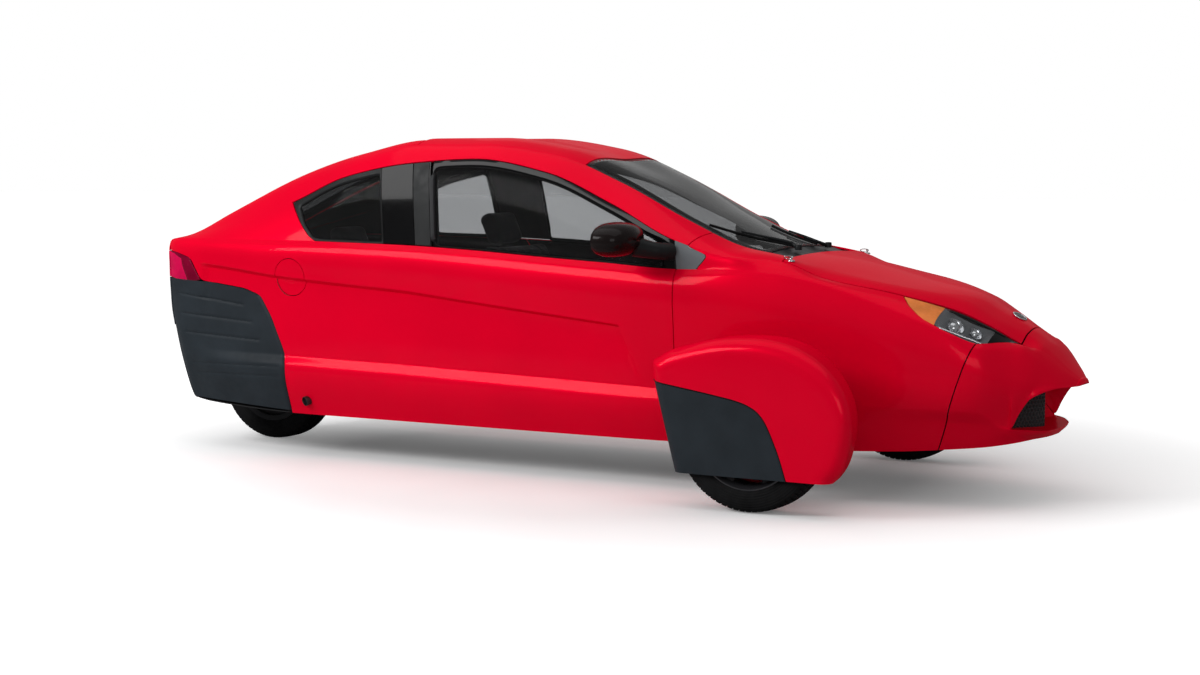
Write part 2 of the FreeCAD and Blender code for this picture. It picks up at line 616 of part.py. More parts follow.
UPRIGHT_HALF, UPRIGHT_DEPTH, BRACKET, BRACKET_HALF, PIVOT_GAP, STRIP_SHORT = 26, 48, 8, 40, 5, 20
pod_outer_y = wheel_y + size("tyre_width") / 2 + size("pod_side_clearance") + size("pod_wall")
pod_inner_y = wheel_y - size("tyre_width") / 2 - size("pod_inner_clearance") - size("pod_wall")
for name, sign in SIDES.items():
    inner_side = kingpin_y - UPRIGHT_DEPTH / 2
    upright_bottom = axle_z - size("arm_height") + size("arm_thickness") / 2 + PIVOT_GAP
    upright_height = 2 * size("arm_height") - size("arm_thickness") - 2 * PIVOT_GAP
    bracket_z = axle_z + size("arm_height") + size("arm_thickness") / 2 + PIVOT_GAP
    wall_y = pod_inner_y + size("pod_wall")
    strip_top = 2 * size("tyre_radius") - STRIP_SHORT

    def mirrored_y(y, width):
        return y if sign > 0 else as_size(0) - y - width

    pieces = [
        cylinder("kingpin_" + name, front_axle_x, sign * kingpin_y, axle_z - size("kingpin_height") / 2,
                 size("kingpin_radius"), size("kingpin_height")),
        box("upright_" + name, front_axle_x - UPRIGHT_HALF, mirrored_y(inner_side, as_size(UPRIGHT_DEPTH)),
            upright_bottom, 2 * UPRIGHT_HALF, UPRIGHT_DEPTH, upright_height),
        cylinder("spindle_" + name, front_axle_x,
                 mirrored_y(kingpin_y, size("kingpin_inset") + size("hub_length")), axle_z,
                 size("spindle_radius"), size("kingpin_inset") + size("hub_length"), ALONG_Y),
        box("bracket_" + name, front_axle_x - UPRIGHT_HALF,
            mirrored_y(wall_y, kingpin_y - wall_y + UPRIGHT_HALF), bracket_z,
            2 * UPRIGHT_HALF, kingpin_y - wall_y + UPRIGHT_HALF, BRACKET),
        box("strip_" + name, front_axle_x - BRACKET_HALF, mirrored_y(wall_y, as_size(BRACKET)),
            bracket_z, 2 * BRACKET_HALF, BRACKET, strip_top - bracket_z),
    ]
    fuse("knuckle_" + name, pieces)

# pods: rings of one side view outline, drawn round a 292 mm tyre, as (forward of the axle, height)
DRAWN_TYRE = 292.0
POD_OUTLINE = [(-299, 132), (-390, 474), (-398, 528), (-388, 552), (-299, 590), (-110, 636), (74, 640),
               (195, 613), (314, 551), (393, 466), (423, 376), (420, 294), (388, 165), (345, 132)]
POD_PANEL = [(-420, 470), (-160, 433), (-23, 410), (38, 389), (75, 360), (99, 318), (142, 221), (185, 90),
             (-420, 90)]
# columns: share of the rounding inwards from the outer face, share of the rounding off the outline
POD_ROUNDING = [(1.0, 0.0), (0.5, 0.13), (0.2, 0.4), (0.0, 1.0)]


def pod_ring(y, shrink, open_below):
    """The pod's outline at one y, its points drawn in towards the axle."""
    grow = mm("tyre_radius") / DRAWN_TYRE
    points = []
    for forward, z in POD_OUTLINE:
        dx, dz = forward * grow, z * grow - float(axle_z)
        reach = math.hypot(dx, dz)
        dx, dz = dx * (1 - shrink / reach), dz * (1 - shrink / reach)
        low = z == POD_OUTLINE[0][1]
        points.append(FreeCAD.Vector(pin_x + dx, y, (z * grow - open_below) if low else float(axle_z) + dz))
    return Part.makePolygon(points + points[:1])


def pod_body(sign, wall, open_below):
    start, end = float(pod_inner_y) + wall, float(pod_outer_y) - wall
    if not wall:
        start = float(pod_inner_y)
    rings = [pod_ring(sign * start, wall, open_below)]
    for inwards, off in POD_ROUNDING:
        y = sign * (end - inwards * mm("pod_round"))
        rings.append(pod_ring(y, wall + off * mm("pod_round"), open_below))
    return Part.makeLoft(rings, True, True)


# the gate is the opening for the arms in the pod's inner wall: half its length, and its height over an arm
GATE_HALF, GATE_OVER, GATE_LAP, OPEN_BELOW = 210.0, 120.0, 5.0, 60.0
pod_gate_top = float(axle_z) + mm("arm_height") + GATE_OVER
for name, sign in SIDES.items():
    gate_ends = sorted((sign * (float(pod_inner_y) - GATE_LAP),
                        sign * (float(pod_inner_y) + mm("pod_wall") + 0.01)))
    gate = slab(pin_x - GATE_HALF, pin_x + GATE_HALF, *gate_ends, -FAR, pod_gate_top)
    pod = pod_body(sign, 0.0, 0.0).cut([pod_body(sign, mm("pod_wall"), OPEN_BELOW), gate])
    panel_points = [FreeCAD.Vector(pin_x + forward * mm("tyre_radius") / DRAWN_TYRE, 0,
                                   z * mm("tyre_radius") / DRAWN_TYRE) for forward, z in POD_PANEL]
    panel_y = float(pod_outer_y) - mm("pod_panel_depth")
    recess = grown(panel_points, 0.0).extrude(FreeCAD.Vector(0, sign * FAR, 0))
    recess.translate(FreeCAD.Vector(0, sign * panel_y, 0))
    inset = grown(panel_points, -gap / 2).extrude(FreeCAD.Vector(0, sign * FAR, 0))
    inset.translate(FreeCAD.Vector(0, sign * panel_y, 0))
    feature("pod_panel_" + name, only_solid(pod.common(inset)))
    feature("pod_" + name, only_solid(pod.cut(recess)))

# ---------------------------------------------------------------- wheels


def origin_plane(body, role):
    return next(part for part in body.Origin.OriginFeatures if part.Role == role)


def turned(label, profile, x, y, z, turn_over=False):
    """A body turned about Y: the profile's points are (radius, along the axle)."""
    body = doc.addObject("PartDesign::Body", label)
    body.Label = label
    sketch = body.newObject("Sketcher::SketchObject", label + "_profile")
    sketch.AttachmentSupport = (origin_plane(body, "XY_Plane"), [""])
    sketch.MapMode = "FlatFace"
    corners = [FreeCAD.Vector(float(radius), float(along_axle), 0) for radius, along_axle in profile]
    for first, second in zip(corners, corners[1:] + corners[:1]):
        sketch.addGeometry(Part.LineSegment(first, second))
    count = len(corners)
    for index in range(count):
        sketch.addConstraint(Sketcher.Constraint("Coincident", index, 2, (index + 1) % count, 1))
    for index, (radius, along_axle) in enumerate(profile):
        for kind, value in (("DistanceX", as_size(radius)), ("DistanceY", as_size(along_axle))):
            made = sketch.addConstraint(Sketcher.Constraint(kind, -1, 1, index, 1, float(value)))
            sketch.setExpression("Constraints[%d]" % made, value.words)
    turn = body.newObject("PartDesign::Revolution", label + "_turn")
    turn.Profile = sketch
    turn.ReferenceAxis = (sketch, ["V_Axis"])
    turn.Angle = 360
    rotation = FreeCAD.Rotation(FreeCAD.Vector(1, 0, 0), 180) if turn_over else FreeCAD.Rotation()
    body.Placement = FreeCAD.Placement(FreeCAD.Vector(), rotation)
    at(body, x, y, z)
    parts[label] = body
    return body


half_width = size("tyre_width") / 2
DISC_Y, BEAD, BEAD_SLOPE, RIM_INSET, HUB_PROUD, HUB_BACK = 34, 20, 11, 8, 2, 30
rim_half = half_width - RIM_INSET
tyre_profile = [
    (rim_radius, as_size(0) - half_width + BEAD_SLOPE), (rim_radius + BEAD, as_size(0) - half_width),
    (size("tyre_radius") - size("tyre_shoulder") * 2, as_size(0) - half_width),
    (size("tyre_radius"), as_size(0) - half_width + size("tyre_shoulder")),
    (size("tyre_radius"), half_width - size("tyre_shoulder")),
    (size("tyre_radius") - size("tyre_shoulder") * 2, half_width), (rim_radius + BEAD, half_width),
    (rim_radius, half_width - BEAD_SLOPE)]


def rim_profile(bore, hub_from, hub_to):
    inner = rim_radius - size("rim_wall")
    return [(rim_radius, as_size(0) - rim_half), (rim_radius, rim_half), (inner, rim_half),
            (inner, DISC_Y + size("rim_disc")), (size("hub_radius"), DISC_Y + size("rim_disc")),
            (size("hub_radius"), hub_to), (bore, hub_to), (bore, hub_from), (size("hub_radius"), hub_from),
            (size("hub_radius"), DISC_Y), (inner, DISC_Y), (inner, as_size(0) - rim_half)]


front_rim = rim_profile(size("spindle_radius") + size("running_clearance"), as_size(DISC_Y - HUB_BACK),
                        size("hub_length") + HUB_PROUD)
rear_rim = rim_profile(size("rear_axle_radius") + size("running_clearance"), as_size(0) - rim_half, rim_half)
# columns: name, x, y, turned over so that its disc faces outwards, rim outline
WHEELS = [("front_right", front_axle_x, as_size(0) - wheel_y, True, front_rim),
          ("front_left", front_axle_x, wheel_y, False, front_rim),
          ("rear", rear_axle_x, as_size(0), False, rear_rim)]
for name, x, y, turn_over, profile in WHEELS:
    turned("tyre_" + name, tyre_profile, x, y, axle_z, turn_over)
    turned("rim_" + name, profile, x, y, axle_z, turn_over)

arm_inner = half_width + size("swingarm_gap")
arm_outer = arm_inner + size("swingarm_thickness")
SWING_HALF, CROSS = 26, 30
swing_front = rear_axle_x + size("tyre_radius") + size("well_clearance")
swing_back = rear_axle_x - SWING_HALF
fuse("rear_swingarm", [
    box("rear_arm_left", swing_back, arm_inner, axle_z - SWING_HALF, swing_front - swing_back,
        size("swingarm_thickness"), 2 * SWING_HALF),
    box("rear_arm_right", swing_back, as_size(0) - arm_outer, axle_z - SWING_HALF, swing_front - swing_back,
        size("swingarm_thickness"), 2 * SWING_HALF),
    box("rear_cross", swing_front - CROSS, as_size(0) - arm_outer, axle_z - SWING_HALF, CROSS,
        2 * arm_outer, 2 * SWING_HALF),
    cylinder("rear_axle", rear_axle_x, as_size(0) - arm_outer, axle_z, size("rear_axle_radius"),
             2 * arm_outer, ALONG_Y)])

# ---------------------------------------------------------------- cabin
floor_level = as_size(floor_top)
# columns: name, rear edge of the cushion, height of the back
SEATS = [("front_seat", size("front_seat_place"), size("front_seat_back")),
         ("rear_seat", size("rear_seat_place"), size("rear_seat_back"))]
RISER_WIDTH, RISER_INSET, HEADREST_WIDTH, HEADREST_SHARE = 300, 60, 230, 0.8
for name, place, back_height in SEATS:
    cushion_z = floor_level + size("seat_riser")
    lean = FreeCAD.Rotation(FreeCAD.Vector(0, 1, 0), -mm("seat_recline"))
    lean_rad = math.radians(mm("seat_recline"))
    head_x = place - back_height * math.sin(lean_rad)
    head_z = cushion_z + back_height * math.cos(lean_rad)
    head_thick = size("seat_back_thickness") * HEADREST_SHARE
    fuse(name, [
        box(name + "_cushion", place, as_size(0) - size("seat_width") / 2, cushion_z,
            size("seat_depth"), size("seat_width"), size("seat_cushion")),
        box(name + "_back", place, as_size(0) - size("seat_width") / 2, cushion_z,
            size("seat_back_thickness"), size("seat_width"), back_height, lean),
        box(name + "_headrest", head_x, as_size(0) - HEADREST_WIDTH / 2, head_z - 1,
            head_thick, HEADREST_WIDTH, size("headrest_height"), lean),
        box(name + "_riser", place + RISER_INSET, as_size(0) - RISER_WIDTH / 2, floor_level,
            size("seat_depth") - 2 * RISER_INSET, RISER_WIDTH, size("seat_riser") + 1)])

DASH = [(592, 640), (592, 838), (640, 868), (CABIN_FRONT_X, 868), (CABIN_FRONT_X, 640)]
feature("dashboard", only_solid(side_prism(DASH).common(cabin)))

WHEEL_X, WHEEL_Z = 350, 842
HUB_RADIUS, HUB_HEIGHT = 46, 34
COLUMN_RADIUS, COLUMN_GAP, COLUMN_LENGTH = 22, 2, 600
SPOKE_WIDTH, SPOKE_THICKNESS = 30, 12
column_turn = FreeCAD.Rotation(FreeCAD.Vector(0, 1, 0), 90 + mm("steering_tilt"))
tilt = math.radians(mm("steering_tilt"))
wheel_centre = FreeCAD.Vector(stretch_x(WHEEL_X), 0, stretch_z(WHEEL_Z))
wheel_hub = cylinder("wheel_hub", 0, 0, -HUB_HEIGHT / 2, HUB_RADIUS, HUB_HEIGHT)
wheel_rim = bind(doc.addObject("Part::Torus", "wheel_rim"), Radius1=size("steering_wheel_radius"),
                 Radius2=size("steering_rim"))
spokes = [box("spoke_%d" % turn, 0, 0, -SPOKE_THICKNESS / 2, size("steering_wheel_radius"), SPOKE_WIDTH,
              SPOKE_THICKNESS, FreeCAD.Rotation(FreeCAD.Vector(0, 0, 1), turn)) for turn in (-10, 80, 170)]
steering_wheel = fuse("steering_wheel", [wheel_hub, wheel_rim] + spokes)
steering_wheel.Placement = FreeCAD.Placement(wheel_centre, column_turn)
column_way = FreeCAD.Vector(math.cos(tilt), 0, -math.sin(tilt))
column_from = wheel_centre + column_way * (HUB_HEIGHT / 2 + COLUMN_GAP)
dash_face = stretch_x(DASH[0][0])
column = Part.makeCylinder(COLUMN_RADIUS, COLUMN_LENGTH, column_from,
                           FreeCAD.Vector(math.cos(tilt), 0, -math.sin(tilt)))
feature("steering_column", only_solid(column.common(slab(-FAR, dash_face, -FAR, FAR, -FAR, FAR))))

engine = doc.addObject("Part::Box", "engine_block")
bind(engine, Length=size("engine_length"), Width=size("engine_width"), Height=size("engine_height"))
at(engine, front_axle_x + size("beam_width") / 2, as_size(0) - size("engine_width") / 2, size("engine_lift"))
parts["engine_block"] = engine

# ---------------------------------------------------------------- mirrors
MIRROR_X, MIRROR_Y, MIRROR_Z, MIRROR_ROUND = 415.0, 505.0, 974.0, 0.28
FOOT_FROM_Y, FOOT_WIDTH, NECK_FROM_Y, NECK_LAP = 380.0, 40.0, 5.0, 30.0
FOOT = [(500, 905), (556, 893), (556, 935), (540, 950), (500, 965)]
for name, sign in SIDES.items():
    depth, width, height = mm("mirror_depth"), mm("mirror_width"), mm("mirror_height")
    centre_x, centre_z = stretch_x(MIRROR_X), stretch_z(MIRROR_Z)
    near = stretch_y(MIRROR_Y)
    housing = slab(centre_x - depth / 2, centre_x + depth / 2, *sorted((sign * near, sign * (near + width))),
                   centre_z - height / 2, centre_z + height / 2)
    housing = housing.makeFillet(height * MIRROR_ROUND, housing.Edges)
    ends = sorted((sign * FOOT_FROM_Y, sign * (near + FOOT_WIDTH)))
    foot = side_prism(FOOT, 0.0, *ends).cut(outer)
    foot_end = only_solid(foot)
    neck_ends = sorted((sign * (near + NECK_FROM_Y), sign * (near + FOOT_WIDTH)))
    neck = slab(centre_x + depth / 2 - NECK_LAP, stretch_x(FOOT[2][0]), *neck_ends,
                stretch_z(FOOT[0][1]), stretch_z(FOOT[3][1]))
    feature("mirror_" + name, only_solid(housing.fuse([foot_end, neck]).removeSplitter()))

# ---------------------------------------------------------------- rear plate screws
PLATE_Z, HOLE_AHEAD = 690.0, 50.0
cladding_part = parts["rear_cladding"]
holes = [Part.makeCylinder(mm("plate_bolt_radius"), 4 * HOLE_AHEAD,
                           FreeCAD.Vector(float(tail_x) - HOLE_AHEAD, side_y * mm("plate_bolt_spacing") / 2,
                                          stretch_z(PLATE_Z)),
                           FreeCAD.Vector(1, 0, 0)) for side_y in (-1, 1)]
cladding_part.Shape = only_solid(cladding_part.Shape.cut(holes))

# ---------------------------------------------------------------- check and write
doc.recompute()
for made in doc.Objects:
    if "Invalid" in made.State or "Error" in made.State:
        raise RuntimeError("%s is %s" % (made.Label, made.State))
os.makedirs("parts", exist_ok=True)
for label, made in parts.items():
    shape = made.Shape
    if shape.isNull() or not shape.isValid():
        raise RuntimeError("%s has no valid shape" % label)
    shape.exportStep(os.path.join("parts", label + ".step"))
print(len(parts), "parts")
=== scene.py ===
import math

import bmesh
import bpy
import numpy as np
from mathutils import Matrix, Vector


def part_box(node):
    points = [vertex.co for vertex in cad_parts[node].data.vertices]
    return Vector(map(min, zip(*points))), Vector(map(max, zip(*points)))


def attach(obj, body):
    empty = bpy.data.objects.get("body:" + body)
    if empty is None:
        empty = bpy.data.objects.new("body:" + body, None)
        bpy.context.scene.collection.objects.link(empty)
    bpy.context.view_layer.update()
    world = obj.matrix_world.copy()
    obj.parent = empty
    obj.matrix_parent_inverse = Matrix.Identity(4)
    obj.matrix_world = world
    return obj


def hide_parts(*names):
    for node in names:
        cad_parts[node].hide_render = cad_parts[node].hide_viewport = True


bl_info = {
    "name": "Three Wheeled Car",
    "version": (1, 0, 0),
    "blender": (4, 5, 0),
    "location": "View3D > Sidebar > Car",
    "description": "Builds the looks of a closed three wheeled car around its packed frame",
    "category": "Object",
}

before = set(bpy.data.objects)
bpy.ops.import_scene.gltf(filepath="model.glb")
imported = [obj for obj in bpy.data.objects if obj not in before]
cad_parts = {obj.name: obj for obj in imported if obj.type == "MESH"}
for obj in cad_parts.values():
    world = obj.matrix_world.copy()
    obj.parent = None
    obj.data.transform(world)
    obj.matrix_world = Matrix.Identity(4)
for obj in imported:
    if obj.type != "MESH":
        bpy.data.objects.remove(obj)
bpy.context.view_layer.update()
MM = 0.001
RIGHT, LEFT = -1.0, 1.0

# ------------------------------------------------------------------ body lines
# Half sections of the body, millimetres. Each row: place along the car, height of the middle of the top,
# then one entry for each of these lines as (half width, height), or (x, half width, height) where the
# line has left the plane of its section:
# edge, frame, belt, hip, crease, rocker, bulge, sill
SECTIONS = [
    (-2045, 935, (300, 933), (355, 930), (396, 924), (410, 905), (416, 800), (412, 720), (405, 650),
     (392, 590)),
    (-1985, 948, (315, 944), (372, 939), (424, 931), (438, 911), (444, 828), (436, 640), (426, 500),
     (402, 390)),
    (-1925, 972, (325, 966), (384, 948), (438, 933), (452, 911), (458, 834), (448, 560), (438, 390),
     (385, 215)),
    (-1753, 1051, (330, 1044), (395, 988), (450, 935), (467, 910), (472, 824), (460, 446), (468, 396),
     (408, 198)),
    (-1350, 1217, (330, 1208), (406, 1098), (462, 936), (484, 906), (488, 783), (470, 438), (490, 391),
     (440, 184)),
    (-1050, 1304, (330, 1293), (408, 1213), (465, 933), (487, 904), (490, 762), (470, 432), (490, 384),
     (440, 183)),
    (-720, 1364, (330, 1346), (400, 1270), (465, 927), (488, 898), (490, 741), (470, 427), (490, 377),
     (440, 183)),
    (-400, 1368, (330, 1347), (397, 1287), (465, 914), (488, 885), (490, 709), (470, 418), (490, 367),
     (440, 183)),
    (-60, 1325, (330, 1303), (400, 1233), (465, 894), (488, 864), (490, 675), (470, 410), (490, 356),
     (440, 183)),
    (250, 1221, (330, 1190), (415, 1110), (465, 877), (488, 845), (490, 645), (470, 401), (490, 347),
     (440, 183)),
    (566, 1073, (330, 1038), (454, 967), (466, 860), (487, 829), (488, 612), (468, 392), (485, 340),
     (438, 184)),
    (800, 974, (330, 944), (455, 908), (466, 864), (480, 838), (478, 575), (460, 385), (470, 335),
     (430, 185)),
    (967, 924, (330, 914), (400, 900), (448, 860), (462, 836), (466, 548), (452, 380), (455, 330),
     (422, 186)),
    (1150, 893, (330, 858), (390, 838), (432, 827), (447, 800), (454, 530), (445, 375), (440, 325),
     (410, 189)),
    (1430, 826, (272, 807), (347, 784), (415, 738), (430, 706), (436, 508), (424, 370), (405, 320),
     (370, 199)),
    (1640, 773, (165, 753), (250, 719), (388, 655), (402, 626), (408, 490), (384, 368), (350, 318),
     (312, 214)),
    (1745, 714, (136, 695), (215, 668), (343, 612), (368, 588), (384, 480), (350, 365), (310, 312),
     (268, 223)),
    (1864, 643, (96, 628), (162, 597), (203, 600), (250, 578), (302, 468), (1843, 264, 300), (1843, 262, 294),
     (1852, 203, 240)),
    (1912, 605, (92, 598), (146, 583), (182, 570), (218, 548), (262, 462), (1880, 262, 362), (1900, 218, 289),
     (1893, 135, 248)),
    (1932, 587, (78, 581), (125, 569), (170, 552), (200, 530), (240, 460), (1916, 258, 412), (1936, 150, 282),
     (1922, 80, 252)),
    (1990, 520, (46, 517), (80, 510), (114, 498), (136, 484), (166, 456), (1998, 158, 446), (1948, 60, 278),
     (1932, 30, 254)),
    (2045, 458, (12, 458), (20, 457), (26, 456), (30, 454), (34, 450), (2045, 31, 446), (1950, 0, 277),
     (1934, 0, 255)),
]
# how far a section runs smoothly over each line, 0 a crisp corner and 1 none, at places along the car (mm):
# edge, frame, belt, hip, crease, rocker, bulge
SOFTNESS = [
    (-2045, 0.7, 0.5, 0.3, 1.0, 0.6, 0.8, 1.0),
    (-1850, 0.7, 0.4, 0.2, 1.0, 0.05, 0.6, 1.0),
    (-1300, 0.9, 0.35, 0.1, 1.0, 0.0, 0.25, 1.0),
    (-735, 1.0, 0.35, 0.1, 1.0, 0.0, 0.2, 1.0),
    (84, 1.0, 0.35, 0.1, 1.0, 0.0, 0.2, 1.0),
    (500, 0.6, 0.4, 0.1, 1.0, 0.0, 0.2, 1.0),
    (800, 0.5, 0.6, 0.7, 1.0, 0.3, 0.3, 1.0),
    (985, 0.5, 0.8, 1.0, 1.0, 0.7, 0.4, 1.0),
    (1430, 0.5, 0.7, 1.0, 1.0, 0.9, 0.8, 1.0),
    (1700, 0.6, 0.8, 1.0, 1.0, 1.0, 1.0, 1.0),
    (1862, 0.8, 1.0, 1.0, 1.0, 1.0, 1.0, 1.0),
    (2045, 1.0, 1.0, 1.0, 1.0, 1.0, 1.0, 1.0),
]
# how far the middle of each strip between two lines stands out, as a share of the strip's width
CROWN = np.array([0.0, 0.02, 0.012, 0.0, 0.008, 0.006, 0.0, 0.0])
TOP, EDGE, FRAME, BELT, HIP, CREASE, ROCKER, BULGE, SILL = range(9)


def unit(a):
    """Vectors divided by their lengths."""
    return a / np.maximum(np.linalg.norm(a, axis=-1, keepdims=True), 1e-12)


def eased(t):
    """0 to 1 along t with a level start and end: 3 t squared less 2 t cubed."""
    t = np.clip(t, 0.0, 1.0)
    return t * t * (3 - 2 * t)


def even(count):
    """Shares from 0 to 1 in even steps."""
    return np.linspace(0.0, 1.0, count + 1)


def between(a, b, share):
    """Points part of the way from a to b."""
    return a * (1 - share) + b * share


def split(uv):
    """The two coordinates of a grid of points, each as a grid."""
    return uv[..., 0], uv[..., 1]


def softened(line, reach):
    """Each point of a line as the mean of its neighbours within reach, with the line carried on past its
    two ends as its own reflection, which keeps them."""
    padded = np.vstack([2 * line[0] - line[reach:0:-1], line, 2 * line[-1] - line[-2:-reach - 2:-1]])
    return sum(padded[i:i + len(line)] for i in range(2 * reach + 1)) / (2 * reach + 1)


def softened_loop(points, reach):
    """The same for a closed loop, with its first point repeated at its end."""
    points = sum(np.roll(points, j, 0) for j in range(-reach, reach + 1)) / (2 * reach + 1)
    return np.vstack([points, points[:1]])


def monotone_cubic(x, y):
    """A function of place: cubic pieces through the rows of y at x, with slopes that are the weighted
    harmonic mean of the chords' slopes either side, and level where those change sign."""
    h = np.diff(x)[:, None]
    d = np.diff(y, axis=0) / h
    w1, w2 = 2 * h[1:] + h[:-1], h[1:] + 2 * h[:-1]
    with np.errstate(divide="ignore", invalid="ignore"):
        mean = (w1 + w2) / (w1 / d[:-1] + w2 / d[1:])
    slopes = np.vstack([d[:1], np.where(d[:-1] * d[1:] > 0, mean, 0.0), d[-1:]])

    def value(u):
        u = np.asarray(u, float)
        i = np.clip(np.searchsorted(x, u) - 1, 0, len(x) - 2)
        step = (x[i + 1] - x[i])[..., None]
        t = (u - x[i])[..., None] / step
        return ((1 + 2 * t) * (1 - t) ** 2 * y[i] + t * (1 - t) ** 2 * step * slopes[i]
                + t * t * (3 - 2 * t) * y[i + 1] + t * t * (t - 1) * step * slopes[i + 1])

    return value


def _section_table():
    """The lines' points in metres at each section, as one smooth function of the place along the car."""
    places, rows = [], []
    for row in SECTIONS:
        points = [(row[0], 0.0, row[1])] + [p if len(p) == 3 else (row[0],) + p for p in row[2:]]
        places.append(row[0] * MM)
        rows.append(np.array(points, float).ravel() * MM)
    return monotone_cubic(np.array(places), np.array(rows))


_lines = _section_table()
_soft = monotone_cubic(np.array([r[0] for r in SOFTNESS]) * MM,
                       np.array([(1.0,) + r[1:] + (1.0,) for r in SOFTNESS]))


def pick(a, k):
    """The row k of each section."""
    return np.take_along_axis(a, k[..., None, None].repeat(a.shape[-1], -1), -2)[..., 0, :]


def skin(u, v):
    """The body's left half. u is the place along the car, and v runs over the lines from 0 at the middle of
    the top to 8 at the sill. Between two lines the section is a cubic Bezier curve whose end tangents lie
    between the chord's direction and the mean of the two chords that meet there, by the line's softness,
    and its middle is pushed out by the strip's crown."""
    u, v = np.broadcast_arrays(np.asarray(u, float), np.asarray(v, float))
    lines = _lines(u).reshape(u.shape + (9, 3))
    soft = np.clip(_soft(u), 0, 1)
    k = np.clip(np.floor(v).astype(int), 0, 7)
    t = (v - k)[..., None]
    a, b = pick(lines, k), pick(lines, k + 1)
    before = pick(lines, np.maximum(k - 1, 0))
    mirrored = b * np.array([1.0, -1.0, 1.0])
    before = np.where((k == 0)[..., None], mirrored, before)
    after = np.where((k == 7)[..., None], 2 * b - a, pick(lines, np.minimum(k + 2, 8)))
    chord = unit(b - a)
    soft_a = np.take_along_axis(soft, k[..., None], -1)
    soft_b = np.take_along_axis(soft, k[..., None] + 1, -1)
    tangent_a = unit(chord * (1 - soft_a) + unit(unit(a - before) + chord) * soft_a)
    tangent_b = unit(chord * (1 - soft_b) + unit(unit(after - b) + chord) * soft_b)
    third = np.linalg.norm(b - a, axis=-1, keepdims=True) / 3
    p = (a * (1 - t) ** 3 + 3 * (1 - t) ** 2 * t * (a + tangent_a * third)
         + 3 * (1 - t) * t * t * (b - tangent_b * third) + b * t ** 3)
    out = np.stack([np.zeros_like(chord[..., 0]), -chord[..., 2], chord[..., 1]], -1)
    return p + out * (CROWN[k][..., None] * third * 3 * 4 * t * (1 - t))


RECESS_DEPTH, RECESS_REAR, RECESS_FRONT, RECESS_SLANT = 0.019, -1.828, 0.322, 0.104


def recess(u, v):
    """Depth of the hollow under the side crease: full just below the crease, eased away towards the rocker,
    with a crisp slanted front end."""
    front = RECESS_FRONT + RECESS_SLANT * np.clip(v - CREASE, 0, 1)
    along = eased((front - u) / 0.008) * eased((u - RECESS_REAR) / 0.06)
    down = eased((v - CREASE) / 0.05) * (1 - eased(v - CREASE))
    return RECESS_DEPTH * along * down


def line_z(name, x):
    """Height of a body line at x, metres."""
    return _lines(np.asarray(x, float)).reshape(np.shape(x) + (9, 3))[..., name, 2]


def resampled(points, count):
    """Points at even steps of length along a polyline."""
    points = np.asarray(points, float)
    s = np.r_[0, np.cumsum(np.linalg.norm(np.diff(points, axis=0), axis=1))]
    t = np.linspace(0, s[-1], count)
    return np.stack([np.interp(t, s, c) for c in points.T], -1)


def v_at(x, z, low, high):
    """The line number v at which the skin at x has height z, by halving the range 30 times."""
    x, z = np.broadcast_arrays(np.asarray(x, float), np.asarray(z, float))
    lo, hi = np.full(x.shape, float(low)), np.full(x.shape, float(high))
    for _ in range(30):
        middle = (lo + hi) / 2
        above = skin(x, middle)[..., 2] > z
        lo, hi = np.where(above, middle, lo), np.where(above, hi, middle)
    return (lo + hi) / 2


def seam(points_mm, low, high, ends=(None, None), count=160, soften=0):
    """A side view line through (x, z) points in millimetres, as (u, v) on the skin between two lines, its
    corners rounded by averaging neighbours."""
    points = softened(resampled(np.array(points_mm, float) * MM, count), soften)
    v = v_at(points[:, 0], points[:, 1], low, high)
    for index, end in zip((0, -1), ends):
        if end is not None:
            v[index] = end
    return np.stack([points[:, 0], np.maximum.accumulate(v)], -1)


def upright(x, low, high, slant=0.0):
    """A line across the skin at x, in (u, v), with x growing by slant from its top to its bottom."""
    v = np.linspace(low, high, 120)
    return np.stack([x + slant * (v - low) / (high - low), v], -1)


def shifted(curve, amount):
    """A (u, v) curve moved along the car."""
    return curve + np.array([amount, 0.0])


def rows_on(curve, blocks):
    """Points of a (u, v) curve at the rows of each block of v."""
    grow = curve[:, 1] + np.arange(len(curve)) * 1e-9
    found = []
    for low, high, shares in blocks:
        v = low + np.asarray(shares) * (high - low)
        rows = np.stack([np.interp(v, grow, curve[:, 0]), v], -1)
        found.append(rows if not found else rows[1:])
    return np.concatenate(found)


def fan(left, right, blocks, columns):
    """A four sided patch of the skin as grids of u and v: straight rows between two curves."""
    a, b = rows_on(left, blocks), rows_on(right, blocks)
    return split(between(a[:, None], b[:, None], np.asarray(columns)[None, :, None]))


def patch(rear, front, low, high, rows, columns):
    """The skin between two places along the car and two line numbers, in even cells."""
    return fan(upright(rear, low, high), upright(front, low, high), [(low, high, even(rows))], even(columns))


def between_loops(outer, inner, rows):
    """Grids of u and v between two (u, v) curves of as many points, at shares of the way."""
    return split(between(outer[None], inner[None], np.asarray(rows)[:, None, None]))


def strip(upper, lower, rows, count):
    """A patch between two curves of (u, v) points that run the same way, as grids of u and v."""
    return between_loops(resampled(upper, count), resampled(lower, count), rows)


def normals_at(u, v):
    """Outward normals of the left half: the cross product of a small step along u and one along v."""
    low, high = np.maximum(v - 0.004, 0.0), np.minimum(v + 0.004, 8.0)
    return unit(np.cross(skin(u + 0.0005, v) - skin(u - 0.0005, v), skin(u, high) - skin(u, low)))


def on_body(uv, side, inward=0.0):
    """Points of the body's skin for grids of u and v, on one side, moved inwards along its normals."""
    u, v = np.broadcast_arrays(*uv)
    p = skin(u, v)
    p[..., 1] -= recess(u, v)
    p = p - np.asarray(inward, float) * normals_at(u, v)
    p[..., 1] = np.where(np.asarray(v) < 1e-9, 0.0, p[..., 1])
    return p * np.array([1.0, side, 1.0])


